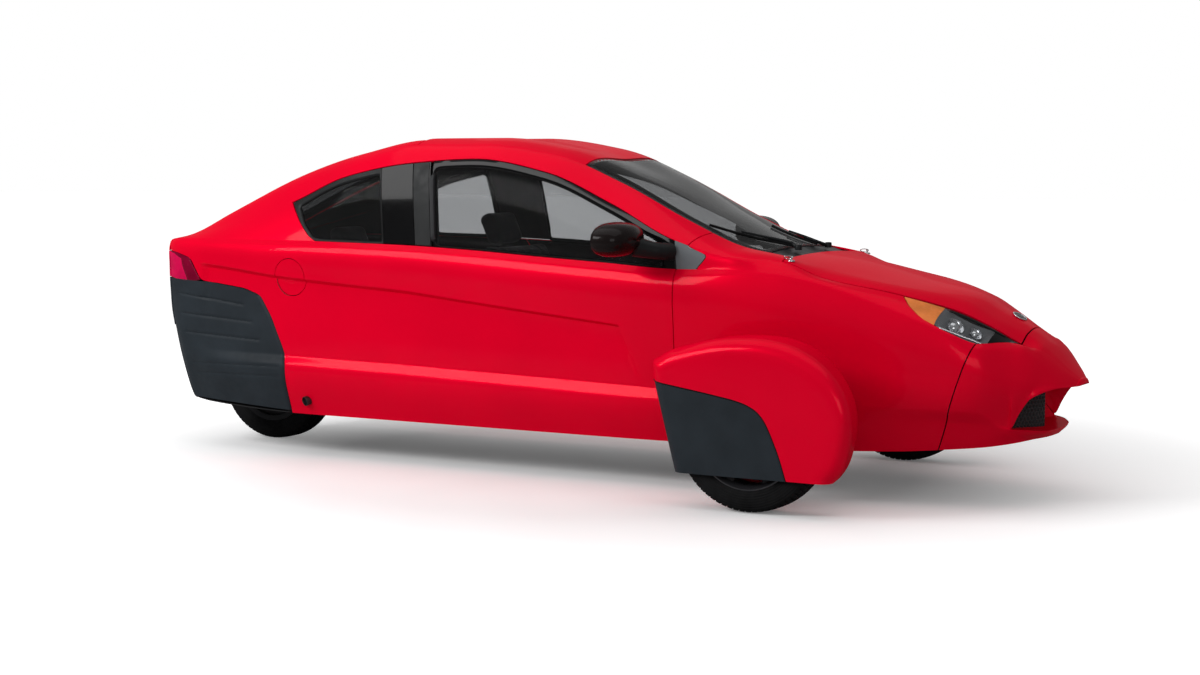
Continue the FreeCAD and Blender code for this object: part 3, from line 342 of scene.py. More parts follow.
def spot(u, v, side=LEFT):
    """Points of the body's skin without the recess, on one side."""
    return skin(u, v) * np.array([1.0, side, 1.0])


def both(uv, inward=0.0):
    """A part of the skin on the left and on the right."""
    return [on_body(uv, LEFT, inward), on_body(uv, RIGHT, inward)]


# row spacings between two lines: closer at a crisp line
PLAIN = even(6)
TO_CREASE = np.array([0, 0.1, 0.2, 0.3, 0.4, 0.5, 0.6, 0.68, 0.76, 0.84, 0.92, 0.97, 1.0])
FROM_CREASE = np.array([0, 0.01, 0.02, 0.032, 0.05, 0.07, 0.1, 0.13, 0.16, 0.19, 0.22, 0.25, 0.28, 0.32, 0.4,
                        0.55, 0.7, 0.84, 0.94, 0.985, 1.0])
FROM_ROCKER = np.array([0, 0.06, 0.2, 0.4, 0.6, 0.8, 1.0])
SHOULDER = (BELT, HIP, even(5))
FLANK_TOP = (HIP, CREASE, TO_CREASE)
FLANK = (CREASE, ROCKER, FROM_CREASE)
STEP = (ROCKER, BULGE, FROM_ROCKER)
UNDER = (BULGE, SILL, even(7))


# ------------------------------------------------------------------ meshes
def grid_quads(rows, columns, start=0):
    """The corners of each cell of a grid, as indices counted along its rows from a first one."""
    i = np.arange(rows - 1)[:, None] * columns + np.arange(columns - 1)[None, :] + start
    return np.stack([i, i + 1, i + columns + 1, i + columns], -1).reshape(-1, 4)


def facing(p, centre=None):
    """A grid turned so that its faces point away from a centre, by default the middle of the car: the sum
    of the cells' area vectors times their ways from the centre is above 0."""
    middle = p.reshape(-1, 3).mean(0)
    centre = np.array([middle[0], 0.0, 0.55]) if centre is None else np.asarray(centre)
    n = np.cross(p[:-1, 1:] - p[:-1, :-1], p[1:, 1:] - p[:-1, 1:])
    return p if (n * (p[:-1, :-1] - centre)).sum() >= 0 else p[:, ::-1]


def mesh_object(name, grids):
    """One mesh from grids of points, joined where they meet."""
    points = np.concatenate([g.reshape(-1, 3) for g in grids])
    starts = np.cumsum([0] + [g.shape[0] * g.shape[1] for g in grids[:-1]])
    quads = np.concatenate([grid_quads(g.shape[0], g.shape[1], s) for g, s in zip(grids, starts)])
    return object_from(name, points, quads)


def object_from(name, points, quads):
    """An object with one mesh, whose points are merged where they meet."""
    mesh = bpy.data.meshes.new(name)
    mesh.vertices.add(len(points))
    mesh.vertices.foreach_set("co", points.astype(np.float32).ravel())
    mesh.loops.add(quads.size)
    mesh.loops.foreach_set("vertex_index", quads.astype(np.int32).ravel())
    mesh.polygons.add(len(quads))
    mesh.polygons.foreach_set("loop_start", np.arange(len(quads), dtype=np.int32) * quads.shape[1])
    mesh.update(calc_edges=True)
    mesh.validate()
    bm = bmesh.new()
    bm.from_mesh(mesh)
    bmesh.ops.remove_doubles(bm, verts=bm.verts, dist=3e-5)
    bmesh.ops.dissolve_degenerate(bm, edges=bm.edges, dist=1e-6)
    bm.to_mesh(mesh)
    bm.free()
    obj = bpy.data.objects.new(name, mesh)
    bpy.context.scene.collection.objects.link(obj)
    return obj


def finish(obj, look, body, slot, replaces=(), wall=0.0, inner=None, bevel=0.0, sharp=None, levels=0):
    """Gives a piece its looks outside and inside, wall, rounded edges and shading (crisp where faces meet at
    more than sharp degrees), and the body that it rides on."""
    for name in (look, inner) if inner else (look,):
        obj.data.materials.append(finish_named(name))
    obj.data.polygons.foreach_set("use_smooth", [True] * len(obj.data.polygons))
    if sharp is not None:
        obj.data.set_sharp_from_angle(angle=math.radians(sharp))
    if levels:
        sub = obj.modifiers.new("round", "SUBSURF")
        sub.levels = sub.render_levels = levels
    if wall:
        solid = obj.modifiers.new("wall", "SOLIDIFY")
        solid.thickness, solid.offset = wall, -1.0
        if inner:
            solid.material_offset = 1
    if bevel:
        rim = obj.modifiers.new("edge", "BEVEL")
        rim.width, rim.segments, rim.limit_method = bevel, 2, "ANGLE"
        rim.angle_limit, rim.harden_normals = math.radians(55), True
    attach(obj, body)
    if replaces:
        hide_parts(*([replaces] if isinstance(replaces, str) else replaces))


def panel(name, grids, look, body, slot, centre=None, **how):
    """A piece made of grids whose faces point away from a centre."""
    finish(mesh_object(name, [facing(g, centre) for g in grids]), look, body, slot, **how)


# ------------------------------------------------------------------ general shapes
def frames_along(path):
    """Tangent and two crossways directions at each point of a path, kept upright."""
    t = unit(np.gradient(path, axis=0))
    up = np.where(np.abs(t[:, 2:3]) > 0.9, np.array([[1.0, 0, 0]]), np.array([[0, 0, 1.0]]))
    a = unit(np.cross(t, up))
    return t, a, np.cross(a, t)


def tube(path, radius, sides=12, closed=False):
    """A round bar along a path: at each point a circle of the radius in the plane across the path."""
    path = np.asarray(path, float)
    _, a, b = frames_along(path)
    if closed:
        ahead, behind = np.roll(path, -1, 0), np.roll(path, 1, 0)
        t = unit(ahead - behind)
        a = unit(np.cross(t, np.array([[0.0, 1.0, 0.0]])))
        b = np.cross(a, t)
    angle = np.linspace(0, 2 * np.pi, sides + 1)
    r = np.broadcast_to(np.asarray(radius, float), (len(path),))[:, None, None]
    p = path[:, None] + r * (np.cos(angle)[:, None] * a[:, None] + np.sin(angle)[:, None] * b[:, None])
    if closed:
        return [np.concatenate([p, p[:1]])]
    ends = [np.stack([np.broadcast_to(path[i], p[i].shape), p[i]]) for i in (0, -1)]
    return [p] + ends


def turned(profile, centre, axis=(0, 1, 0), segments=64):
    """A surface of revolution: profile points are (radius, along the axle) about an axis through a centre."""
    profile = np.asarray(profile, float)
    axis = unit(np.asarray(axis, float))
    helper = np.array([0, 0, 1.0]) if abs(axis[2]) < 0.9 else np.array([1.0, 0, 0])
    a = unit(np.cross(axis, helper))
    b = np.cross(axis, a)
    angle = np.linspace(0, 2 * np.pi, segments + 1)
    round_ = np.cos(angle)[:, None] * a + np.sin(angle)[:, None] * b
    return np.asarray(centre) + profile[:, None, :1] * round_[None] + profile[:, None, 1:] * axis


def rounded_box(low, high, radius, count=6, power=2.0):
    """Six grids of a box with round edges: a point of the plain box is pulled back to the inner box and
    pushed out again by the radius along the line from there."""
    low, high = np.asarray(low, float), np.asarray(high, float)
    middle, half = (low + high) / 2, (high - low) / 2
    r = np.minimum(radius, half * 0.999)
    grids = []
    for axis in range(3):
        others = [i for i in range(3) if i != axis]
        lines = []
        for i in others:
            inner = half[i] - r[i]
            edge = np.tan(np.linspace(-np.pi / 4, 0, count)) * r[i]
            flat = np.linspace(-inner, inner, count)[1:-1]
            lines.append(np.concatenate([-inner + edge, flat, inner - edge[::-1]]))
        a, b = np.meshgrid(*lines, indexing="ij")
        for sign in (-1, 1):
            p = np.zeros(a.shape + (3,))
            p[..., others[0]], p[..., others[1]], p[..., axis] = a, b, sign * half[axis]
            inner = np.clip(p, -(half - r), half - r)
            out = p - inner
            length = (np.abs(out / r) ** power).sum(-1, keepdims=True) ** (1 / power)
            grids.append(facing(middle + inner + out / np.maximum(length, 1e-9), middle))
    return grids


def capped(loops):
    """A skin over closed loops of points (each loop's first point is repeated at its end), with flat ends."""
    loops = np.asarray(loops, float)
    ends = [np.stack([np.broadcast_to(loops[i][:-1].mean(0), loops[i].shape), loops[i]]) for i in (0, -1)]
    return [loops] + ends


def outline_loop(points, soften, count):
    """A closed outline at even steps with its corners rounded."""
    return softened_loop(resampled(np.vstack([points, points[:1]]), count + 1)[:-1], soften)


def turned_about(grids, centre, axis, degrees):
    """Grids turned about an axis through a centre, by the rule of Rodrigues."""
    k = unit(np.asarray(axis, float))
    angle = math.radians(degrees)
    done = []
    for g in grids:
        p = g - centre
        done.append(centre + p * math.cos(angle) + np.cross(k, p) * math.sin(angle)
                    + k * (p @ k)[..., None] * (1 - math.cos(angle)))
    return done


# ------------------------------------------------------------------ materials
WAVE_LENGTH = 0.31       # a wave texture's period in metres, times its scale


class Shader:
    """A node material with one Principled shader, and short ways to drive it."""

    def __init__(self, name, colour, roughness, metallic=0.0, **sockets):
        self.material = bpy.data.materials.new(name)
        self.material.use_nodes = True
        self.tree = self.material.node_tree
        self.shader = self.tree.nodes["Principled BSDF"]
        self.bumped = None
        self.set("Base Color", (*colour[:3], 1.0))
        self.set("Roughness", roughness)
        self.set("Metallic", metallic)
        for socket, value in sockets.items():
            self.set(socket.replace("_", " "), value)

    def set(self, socket, value):
        self.shader.inputs[socket].default_value = value

    def node(self, kind, **inputs):
        made = self.tree.nodes.new(kind)
        for name, value in inputs.items():
            made.inputs[name.replace("_", " ")].default_value = value
        return made

    def link(self, a, b):
        self.tree.links.new(a, b)

    def pattern(self, kind, **inputs):
        """A texture node on the piece's own coordinates."""
        made = self.node(kind, **inputs)
        self.link(self.node("ShaderNodeTexCoord").outputs["Object"], made.inputs["Vector"])
        return made

    def noise(self, scale, detail=3.0):
        """A soft random pattern, scale times to the metre."""
        return self.pattern("ShaderNodeTexNoise", Scale=scale, Detail=detail).outputs["Fac"]

    def ramp(self, value, low, high, out_low, out_high):
        """A value between low and high carried over to a range of its own, straight and with level ends."""
        made = self.node("ShaderNodeMapRange", From_Min=low, From_Max=high, To_Min=out_low, To_Max=out_high)
        self.link(value, made.inputs["Value"])
        return made.outputs["Result"]

    def tint(self, share, first, second):
        """The base colour part of the way from a first colour to a second, which may be a socket."""
        made = self.node("ShaderNodeMix")
        made.data_type = "RGBA"
        a, b = [socket for socket in made.inputs if socket.type == "RGBA"]
        a.default_value = (*first[:3], 1.0)
        if isinstance(second, bpy.types.NodeSocket):
            self.link(second, b)
        else:
            b.default_value = (*second[:3], 1.0)
        self.link(share, made.inputs[0])
        result = next(socket for socket in made.outputs if socket.type == "RGBA")
        self.link(result, self.shader.inputs["Base Color"])
        return result

    def mottle(self, scale, detail, colour, darkest, lightest=1.0):
        """The base colour varies between two shares of a colour, in patches."""
        share = self.ramp(self.noise(scale, detail), 0.35, 0.65, 0.0, 1.0)
        return self.tint(share, darker(colour, darkest), darker(colour, lightest))

    def step(self, value, operation, other):
        """One step of arithmetic with a second value or number, held between 0 and 1."""
        made = self.node("ShaderNodeMath")
        made.operation, made.use_clamp = operation, True
        self.link(value, made.inputs[0])
        if isinstance(other, float):
            made.inputs[1].default_value = other
        else:
            self.link(other, made.inputs[1])
        return made.outputs[0]

    def rough(self, value, low, high):
        """Roughness from low to high, by a pattern."""
        self.link(self.ramp(value, 0.3, 0.7, low, high), self.shader.inputs["Roughness"])

    def bump(self, value, strength, distance):
        """A further layer of fine relief, over the ones before it."""
        made = self.node("ShaderNodeBump", Strength=strength, Distance=distance)
        self.link(value, made.inputs["Height"])
        if self.bumped is not None:
            self.link(self.bumped, made.inputs["Normal"])
        self.bumped = made.outputs["Normal"]
        self.link(self.bumped, self.shader.inputs["Normal"])


def darker(colour, share):
    """A colour with its three parts multiplied by a share."""
    return tuple(c * share for c in colour[:3])


def painted(name, colour):
    """Gloss paint: a clear coat over a colour with faint mottling, fine flakes and a shallow orange peel."""
    m = Shader(name, colour, 0.35, 0.14, Coat_Weight=0.1, Coat_Roughness=0.06, Specular_IOR_Level=0.0)
    m.mottle(2.2, 2.0, colour, 0.94)
    m.rough(m.noise(900.0, 1.0), 0.3, 0.38)
    m.bump(m.noise(260.0, 1.0), 0.025, 0.0004)
    return m.material


def grained(name, colour, roughness=0.55, size=900.0, depth=0.12):
    """Moulded plastic: an even colour with a leather-like grain of cells and a soft sheen that varies."""
    m = Shader(name, colour, roughness, Specular_IOR_Level=0.14)
    m.mottle(6.0, 3.0, colour, 0.85, 1.12)
    m.rough(m.noise(30.0, 4.0), roughness - 0.07, roughness + 0.08)
    m.bump(m.pattern("ShaderNodeTexVoronoi", Scale=size).outputs["Distance"], depth, 0.0004)
    return m.material


def glossy(name, colour, roughness=0.12, coat=0.1):
    """Smooth moulded or lacquered surface with faint waviness and dust-fine changes of gloss."""
    m = Shader(name, colour, roughness, Coat_Weight=coat, Coat_Roughness=0.03, Specular_IOR_Level=0.05)
    m.mottle(3.0, 3.0, colour, 0.85, 1.1)
    m.rough(m.noise(55.0, 5.0), roughness * 0.8, roughness * 1.35)
    m.bump(m.noise(40.0, 1.0), 0.02, 0.0006)
    return m.material


def metal(name, colour, roughness):
    """Metal with fine scratches and a patchy polish."""
    m = Shader(name, colour, roughness, 1.0)
    m.mottle(14.0, 3.0, colour, 0.8)
    m.rough(m.noise(160.0, 4.0), roughness * 0.7, roughness * 1.4)
    m.bump(m.noise(420.0, 2.0), 0.06, 0.0003)
    return m.material


def rubber(name, colour):
    """Dull rubber: patches of lighter dust and a fine rough grain."""
    m = Shader(name, colour, 0.72, Specular_IOR_Level=0.06)
    m.mottle(9.0, 5.0, colour, 0.7, 1.35)
    m.rough(m.noise(45.0, 4.0), 0.6, 0.85)
    m.bump(m.noise(700.0, 2.0), 0.15, 0.0005)
    return m.material


def woven(name, colour, thread=0.0026):
    """Cloth: two sets of threads that cross at right angles, as two wave patterns multiplied, with fuzz."""
    m = Shader(name, colour, 0.85, Sheen_Weight=0.25, Sheen_Roughness=0.5, Specular_IOR_Level=0.25)
    waves = []
    for way in ("X", "Y"):
        wave = m.pattern("ShaderNodeTexWave", Scale=WAVE_LENGTH / thread, Distortion=0.6, Detail=1.0)
        wave.bands_direction = way
        waves.append(wave.outputs["Fac"])
    product = m.step(waves[0], "MULTIPLY", waves[1])
    # painted highlight and shade: the colour is lighter where the threads rise and darker in the hollows
    # between them, following the relief
    m.tint(m.ramp(product, 0.0, 0.8, 0.0, 1.0), darker(colour, 0.6), darker(colour, 1.5))
    m.bump(product, 0.4, 0.0006)
    m.bump(m.noise(1400.0, 2.0), 0.12, 0.0004)
    return m.material


def leather(name, colour):
    """Leather: patches of colour, worn lighter and darker, and a grain of small cells."""
    m = Shader(name, colour, 0.5, Specular_IOR_Level=0.4)
    m.mottle(8.0, 4.0, colour, 0.75, 1.3)
    m.rough(m.noise(60.0, 3.0), 0.42, 0.6)
    m.bump(m.pattern("ShaderNodeTexVoronoi", Scale=520.0).outputs["Distance"], 0.25, 0.0005)
    return m.material


def see_through(name, colour, share, dust=0.02):
    """Clear or tinted glazing: a clear layer of the tint under a mirror layer, whose share is four hundredths
    face on and grows with the fifth power of the turn away, the same from inside and out, with a faint
    film of dust."""
    m = Shader(name, darker(colour, 0.2), 0.02, Specular_IOR_Level=0.5)
    clear = m.node("ShaderNodeBsdfTransparent", Color=(*colour[:3], 1.0))
    turned_away = m.node("ShaderNodeLayerWeight", Blend=0.5)
    power = m.step(turned_away.outputs["Facing"], "POWER", 5.0)
    film = m.ramp(m.noise(5.0, 4.0), 0.3, 0.8, share + dust * 0.3, share + dust * 1.6)
    mixed = m.node("ShaderNodeMixShader")
    m.link(m.step(m.step(power, "MULTIPLY", 0.9), "ADD", film), mixed.inputs["Fac"])
    m.link(clear.outputs["BSDF"], mixed.inputs[1])
    m.link(m.shader.outputs["BSDF"], mixed.inputs[2])
    m.link(mixed.outputs["Shader"], m.tree.nodes["Material Output"].inputs["Surface"])
    return m.material


def lamp_lens(name, colour, roughness, depth=0.0, flute=0.0):
    """Coloured lamp plastic: gloss over a colour, with upright flutes in its bump where it has them."""
    m = Shader(name, colour, roughness, Coat_Weight=0.05, Coat_Roughness=0.02, Specular_IOR_Level=0.05)
    m.mottle(12.0, 3.0, colour, 0.8, 1.12)
    m.rough(m.noise(80.0), roughness * 0.8, roughness * 1.3)
    if flute:
        m.bump(m.pattern("ShaderNodeTexWave", Scale=WAVE_LENGTH / flute).outputs["Fac"], depth, 0.001)
    return m.material


# ------------------------------------------------------------------ panel joints, as curves on the body
GAP = 0.0022                  # half the width of a shut line
WALL, EDGE_ROUND = 0.008, 0.0014
PANE_DEPTH = 0.0055           # how far a side pane lies under the skin
TAIL_X, TAIL_FACE_X = -2.030, -2.043
HATCH_FRONT, HEADER, SCREEN_FOOT, HOOD_REAR, HOOD_FRONT = -0.735, 0.084, 0.892, 0.985, 1.850
HATCH_REAR, DOOR_FRONT, NOSE_TIP, MOUTH_CORNER = -1.950, 0.566, 2.045, 1.864
NOSE_END = 2.031              # where the skin stops and the rounded cap begins
SIDES = (("right", RIGHT), ("left", LEFT))

A_PILLAR = upright(0.655, EDGE, FRAME, -0.043)
QUARTER_TIP = seam([(-1345, 1098), (-1268, 1002), (-1204, 940), (-1150, 926)], FRAME, BELT, (FRAME, BELT))
SAIL_FRONT = seam([(612, 957), (614, 946), (660, 930), (686, 920), (692, 910), (680, 893), (655, 866)],
                  FRAME, BELT, (FRAME, BELT))
LAMP_REAR = seam([(1445, 785), (1488, 745), (1543, 703), (1636, 656)], FRAME, BELT, (FRAME, BELT))
LAMP_FRONT = resampled([(1.862, 2.0), (1.855, 2.2), (1.832, 2.55), (1.79, 2.85), (1.742, 3.0)], 160)
BUMPER_SEAM = seam([(1738, 616), (1590, 205)], BELT, SILL, (BELT, SILL))
REAR_EDGE = seam([(-2030, 926), (-2030, 878), (-1967, 871), (-1880, 848), (-1815, 748), (-1776, 745),
                  (-1576, 723), (-1484, 694), (-1424, 606), (-1358, 467), (-1334, 390), (-1339, 191)],
                 BELT, SILL, (BELT, SILL), 400, 7)
DOOR_EDGE = upright(DOOR_FRONT, BELT, SILL)
DOOR_REAR = upright(-0.690, BELT, ROCKER, 0.014)
BEHIND = float(REAR_EDGE[:, 0].max()) + GAP      # the cladding's foremost point
SIDE_SPLIT = -1.19                               # the side's rows are level behind it


def recess_edge(offset):
    """The slanted line where the recess under the crease ends at its front, moved along by an offset."""
    v = np.linspace(BELT, SILL, 240)
    u = RECESS_FRONT + RECESS_SLANT * np.clip(v - CREASE, 0, 1) + 0.007 * np.clip(v - ROCKER, 0, 2) + offset
    return np.stack([u, v], -1)


FLANK_ROWS = [SHOULDER, FLANK_TOP, FLANK, STEP, UNDER]
TOP_ROWS = [(TOP, EDGE, even(12))]
BAND_ROWS = [(EDGE, FRAME, PLAIN)]
SHUT = 0.05      # share of a strip left open along a shut line


def flank(rear, front, rows, columns):
    """The side between two joints, its columns closer together at the front end of the recess."""
    return [fan(rear, recess_edge(-0.008), rows, even(columns)),
            fan(recess_edge(-0.008), recess_edge(0.0), rows, even(4)),
            fan(recess_edge(0.0), front, rows, even(10))]


def above_tail_edge(blocks):
    """The side above and ahead of the tail cladding: rows along the body lines and level columns, where
    each column ends at the cladding's edge and its rows past that point fall together."""
    edge = shifted(REAR_EDGE, GAP)
    top = int(edge[:, 0].argmax())
    u = np.concatenate([np.linspace(edge[0, 0], BEHIND, 130)[:-1], np.linspace(BEHIND, SIDE_SPLIT, 26)])
    end = np.where(u < BEHIND - 1e-6, np.interp(u, edge[:top + 1, 0], edge[:top + 1, 1]), float(SILL))
    v = np.unique(np.concatenate([low + np.asarray(shares) * (high - low) for low, high, shares in blocks]))
    return np.broadcast_to(u, (len(v), len(u))).copy(), np.minimum(v[:, None], end[None])


def painted_panel(name, grids, body="body", lining="panel lining", **how):
    """A painted piece with a wall, a lining inside and fine round edges."""
    panel(name, grids, "red paint", body, slot="body_paint", wall=WALL, inner=lining, bevel=EDGE_ROUND,
          sharp=32, **how)


def around_circle(grid, x0, z0, radius, margin):
    """A grid with a round hole, seen from the side, as five grids: the four strips left round a block of
    cells, and rings from the block's edge in to the circle, each laid on the skin by its x and height."""
    u, v = grid
    z = skin(u, v)[..., 2]
    near = (np.abs(u - x0) < radius + margin) & (np.abs(z - z0) < radius + margin)
    rows, columns = np.flatnonzero(near.any(1)), np.flatnonzero(near.any(0))
    i, j, k, m = rows[0], rows[-1], columns[0], columns[-1]
    pieces = [np.s_[:i + 1, :], np.s_[j:, :], np.s_[i:j + 1, :k + 1], np.s_[i:j + 1, m:]]
    loop = [np.s_[i, k:m], np.s_[i:j, m], np.s_[j, m:k:-1], np.s_[j:i:-1, k], np.s_[i, k:k + 1]]
    u_edge, v_edge, z_edge = (np.concatenate([a[s] for s in loop]) for a in (u, v, z))
    to = unit(np.stack([u_edge - x0, z_edge - z0], -1)) * radius + (x0, z0)
    t = even(8)[:, None]
    x, height = between(u_edge, to[:, 0], t), between(z_edge, to[:, 1], t)
    rings = x, v_at(x, height, BELT, ROCKER)
    rings[1][0] = v_edge
    return [(u[s], v[s]) for s in pieces] + [rings]


def side_line(line, first, last, shift=0.0):
    """Points along a body line in side view, in millimetres, raised by a shift."""
    x = np.linspace(first, last, 30)
    return np.stack([x, line_z(line, x * MM) / MM + shift], -1)


def window_loop(sides, counts, soften):
    """A closed side view outline in (u, v) of the window band, from its sides, with softened corners."""
    points = np.concatenate([resampled(side, count + 1)[:-1] for side, count in zip(sides, counts)])
    points = softened_loop(points, soften) * MM
    v = v_at(points[:, 0], points[:, 1], FRAME, BELT)
    return np.stack([points[:, 0], np.clip(v, 2.004, 2.996)], -1)


def pane_of(loop, counts):
    """A pane inside a loop: rows between the loop's upper and lower halves, which run the same way and meet
    half way up its two upright sides."""
    rear, front = counts[0] // 2, counts[0] + counts[1] + counts[2] // 2
    lower = np.vstack([loop[front:], loop[1:rear + 1]])[::-1]
    return strip(loop[rear:front + 1], lower, even(10), 100)


COUNTS, QUARTER_COUNTS = (24, 90, 30, 90), (40, 60, 24, 60)
SLANT = 0.047        # how far an upright line of the window band leans forward towards its foot
MAIN_GLASS = window_loop([
    [(-570, line_z(BELT, -0.57) / MM + 6), (-606, line_z(FRAME, -0.57) / MM - 36)],
    side_line(FRAME, -606, 470, -36), [(470, 974), (500, 925), (505, line_z(BELT, 0.505) / MM + 6)],
    side_line(BELT, 505, -570, 6)], COUNTS, 3)
MAIN_OUTER = window_loop([
    [(-566, line_z(BELT, -0.566) / MM), (-609, line_z(FRAME, -0.609) / MM)],
    side_line(FRAME, -609, 552), [(552, line_z(FRAME, 0.552) / MM), (566, line_z(BELT, 0.566) / MM)],
    side_line(BELT, 566, -566)], COUNTS, 0)
QUARTER_GLASS = window_loop([
    [(-1150, line_z(BELT, -1.15) / MM + 9), (-1196, 952), (-1250, 1006), (-1292, 1082)],
    np.vstack([[(-1292, 1082)], side_line(FRAME, -1185, -872, -30)]),
    [(-872, line_z(FRAME, -0.872) / MM - 30), (-828, line_z(BELT, -0.828) / MM + 9)],
    side_line(BELT, -828, -1150, 9)], QUARTER_COUNTS, 2)
QUARTER_OUTER = window_loop([
    [(-1142, line_z(BELT, -1.142) / MM), (-1204, 940), (-1268, 1002), (-1338, 1092)],
    np.vstack([[(-1338, 1092)], side_line(FRAME, -1330, -870)]),
    [(-870, line_z(FRAME, -0.87) / MM), (-823, line_z(BELT, -0.823) / MM)],
    side_line(BELT, -823, -1142)], QUARTER_COUNTS, 0)


def leaning(x):
    """A line down the window band from a place on the frame line."""
    return upright(x, FRAME, BELT, SLANT)


# ------------------------------------------------------------------ what a user can change
def colour_setting(name, description, default):
    return bpy.props.FloatVectorProperty(name=name, description=description, default=default, size=3,
                                         subtype="COLOR", min=0.0, max=1.0)


def length_setting(name, description, default):
    return bpy.props.FloatProperty(name=name, description=description, default=default, unit="LENGTH",
                                   subtype="DISTANCE", min=0.0)


class CarFinishes(bpy.types.PropertyGroup):
    body: colour_setting("Body paint", "Gloss paint of the body and the wheel pods", (0.82, 0.0, 0.022))
    cladding: colour_setting("Cladding", "Grained plastic of the tail and the pod panels",
                             (0.018, 0.024, 0.03))
    frames: colour_setting("Window frames", "Gloss surround of the windows and the mirrors",
                           (0.004, 0.004, 0.0045))
    sails: colour_setting("Mirror sails", "Satin corner pieces at the mirrors", (0.13, 0.145, 0.155))
    glass_tint: colour_setting("Glass", "Light that the side glass lets through", (0.72, 0.725, 0.73))
    dark_tint: colour_setting("Rear glass", "Light that the rear glass lets through", (0.3, 0.305, 0.31))
    amber: colour_setting("Amber lens", "Turn signal part of the headlamps", (0.83, 0.24, 0.06))
    lamp_red: colour_setting("Tail lamps", "Lens of the tail lamps", (0.62, 0.003, 0.07))
    seat_cloth: colour_setting("Seat cloth", "Woven cover of the seats", (0.035, 0.037, 0.042))
    trim: colour_setting("Cabin trim", "Grained plastic of the cabin", (0.035, 0.036, 0.038))
    rubber: colour_setting("Rubber", "Tyres and window seals", (0.008, 0.008, 0.0085))
    rims: colour_setting("Rims", "Satin paint of the wheels", (0.016, 0.016, 0.018))
    steel: colour_setting("Chassis", "Painted steel of the suspension", (0.03, 0.03, 0.032))


class CarDetails(bpy.types.PropertyGroup):
    tread_pitches: bpy.props.IntProperty(
        name="Tread pitches", description="Blocks round each tyre", default=72, min=24, max=96)
    tread_depth: length_setting("Tread depth", "Depth of the grooves in the tyres", 0.006)
    mesh_pitch: length_setting("Grille cell", "Width of one cell of the grille mesh", 0.017)
    seat_swell: length_setting("Seat swell", "Furthest that the seat covers may puff up", 0.012)
    flap_radius: length_setting("Fuel flap", "Radius of the round fuel flap", 0.079)


class CarStage(bpy.types.PropertyGroup):
    floor: colour_setting("Floor", "Plain floor under the car", (0.93, 0.93, 0.935))
    top_light: bpy.props.FloatProperty(
        name="Top light", description="Strength of the large soft light above", default=1.5, min=0.0)
    glow_near: bpy.props.FloatProperty(
        name="Floor glow", description="How white the floor is seen beside the car", default=0.1, min=0.0)
    room_light: bpy.props.FloatProperty(
        name="Room light", description="Strength of the light from all round", default=0.3, min=0.0)


finishes = {}


def finish_named(name):
    """Each finish is made once, from the colours in the panel, when a piece first asks for it. Its row gives
    the kind of surface and the numbers that this kind takes."""
    if name in finishes:
        return finishes[name]
    c = bpy.context.scene.car_finishes
    makers = {
        "red paint": (painted, c.body),
        "cladding grain": (grained, c.cladding, 0.5),
        "panel lining": (grained, darker(c.trim, 0.5), 0.7),
        "gloss frame": (glossy, c.frames, 0.1),
        "satin frame": (grained, darker(c.sails, 0.07), 0.42),
        "slate sail": (grained, c.sails, 0.5),
        "mirror brown": (glossy, (0.009, 0.006, 0.006), 0.24, 0.12),
        "side glazing": (see_through, c.glass_tint, 0.03, 0.005),
        "rear glazing": (see_through, c.dark_tint, 0.03),
        "front glazing": (see_through, darker(c.glass_tint, 0.85), 0.04),
        "lens": (see_through, (0.93, 0.935, 0.94), 0.03, 0.01),
        "seal rubber": (rubber, c.rubber),
        "tyre rubber": (rubber, c.rubber),
        "amber lens": (lamp_lens, c.amber, 0.25, 0.25, 0.006),
        "tail lens": (lamp_lens, c.lamp_red, 0.2, 0.2, 0.009),
        "smoked lens": (lamp_lens, darker(c.lamp_red, 0.3), 0.22),
        "lamp chrome": (metal, (0.75, 0.76, 0.78), 0.12),
        "lamp bowl": (glossy, (0.2, 0.21, 0.22), 0.3),
        "grille black": (glossy, (0.05, 0.051, 0.054), 0.3, 0.6),
        "bright steel": (metal, (0.62, 0.63, 0.65), 0.22),
        "mirror silver": (metal, (0.85, 0.86, 0.87), 0.04),
        "rim paint": (glossy, c.rims, 0.3, 0.1),
        "rim lip": (metal, (0.07, 0.07, 0.075), 0.35),
        "chassis paint": (glossy, c.steel, 0.45, 0.2),
        "cast metal": (metal, (0.32, 0.32, 0.33), 0.5),
        "under plastic": (grained, (0.02, 0.02, 0.021), 0.7, 500.0, 0.2),
        "cabin grain": (grained, c.trim, 0.6),
        "cabin carpet": (woven, darker(c.trim, 0.8), 0.004),
        "seat weave": (woven, c.seat_cloth),
        "seat edge": (leather, darker(c.seat_cloth, 0.7)),
        "wheel leather": (leather, (0.016, 0.016, 0.017)),
        "blank plate": (grained, (0.6, 0.61, 0.62), 0.45, 300.0, 0.05),
        "badge enamel": (glossy, (0.02, 0.021, 0.024), 0.15),
    }
    maker, *values = makers[name]
    finishes[name] = maker(name.replace(" ", "_"), *values)
    return finishes[name]


# ------------------------------------------------------------------ operators
def box(node):
    """A node's lowest and highest corners."""
    return [np.array(corner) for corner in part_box(node)]


class CarOperator:
    """Shared by the operators: they run from the sidebar or from main, and finish or raise."""
    bl_options = {"REGISTER", "UNDO"}


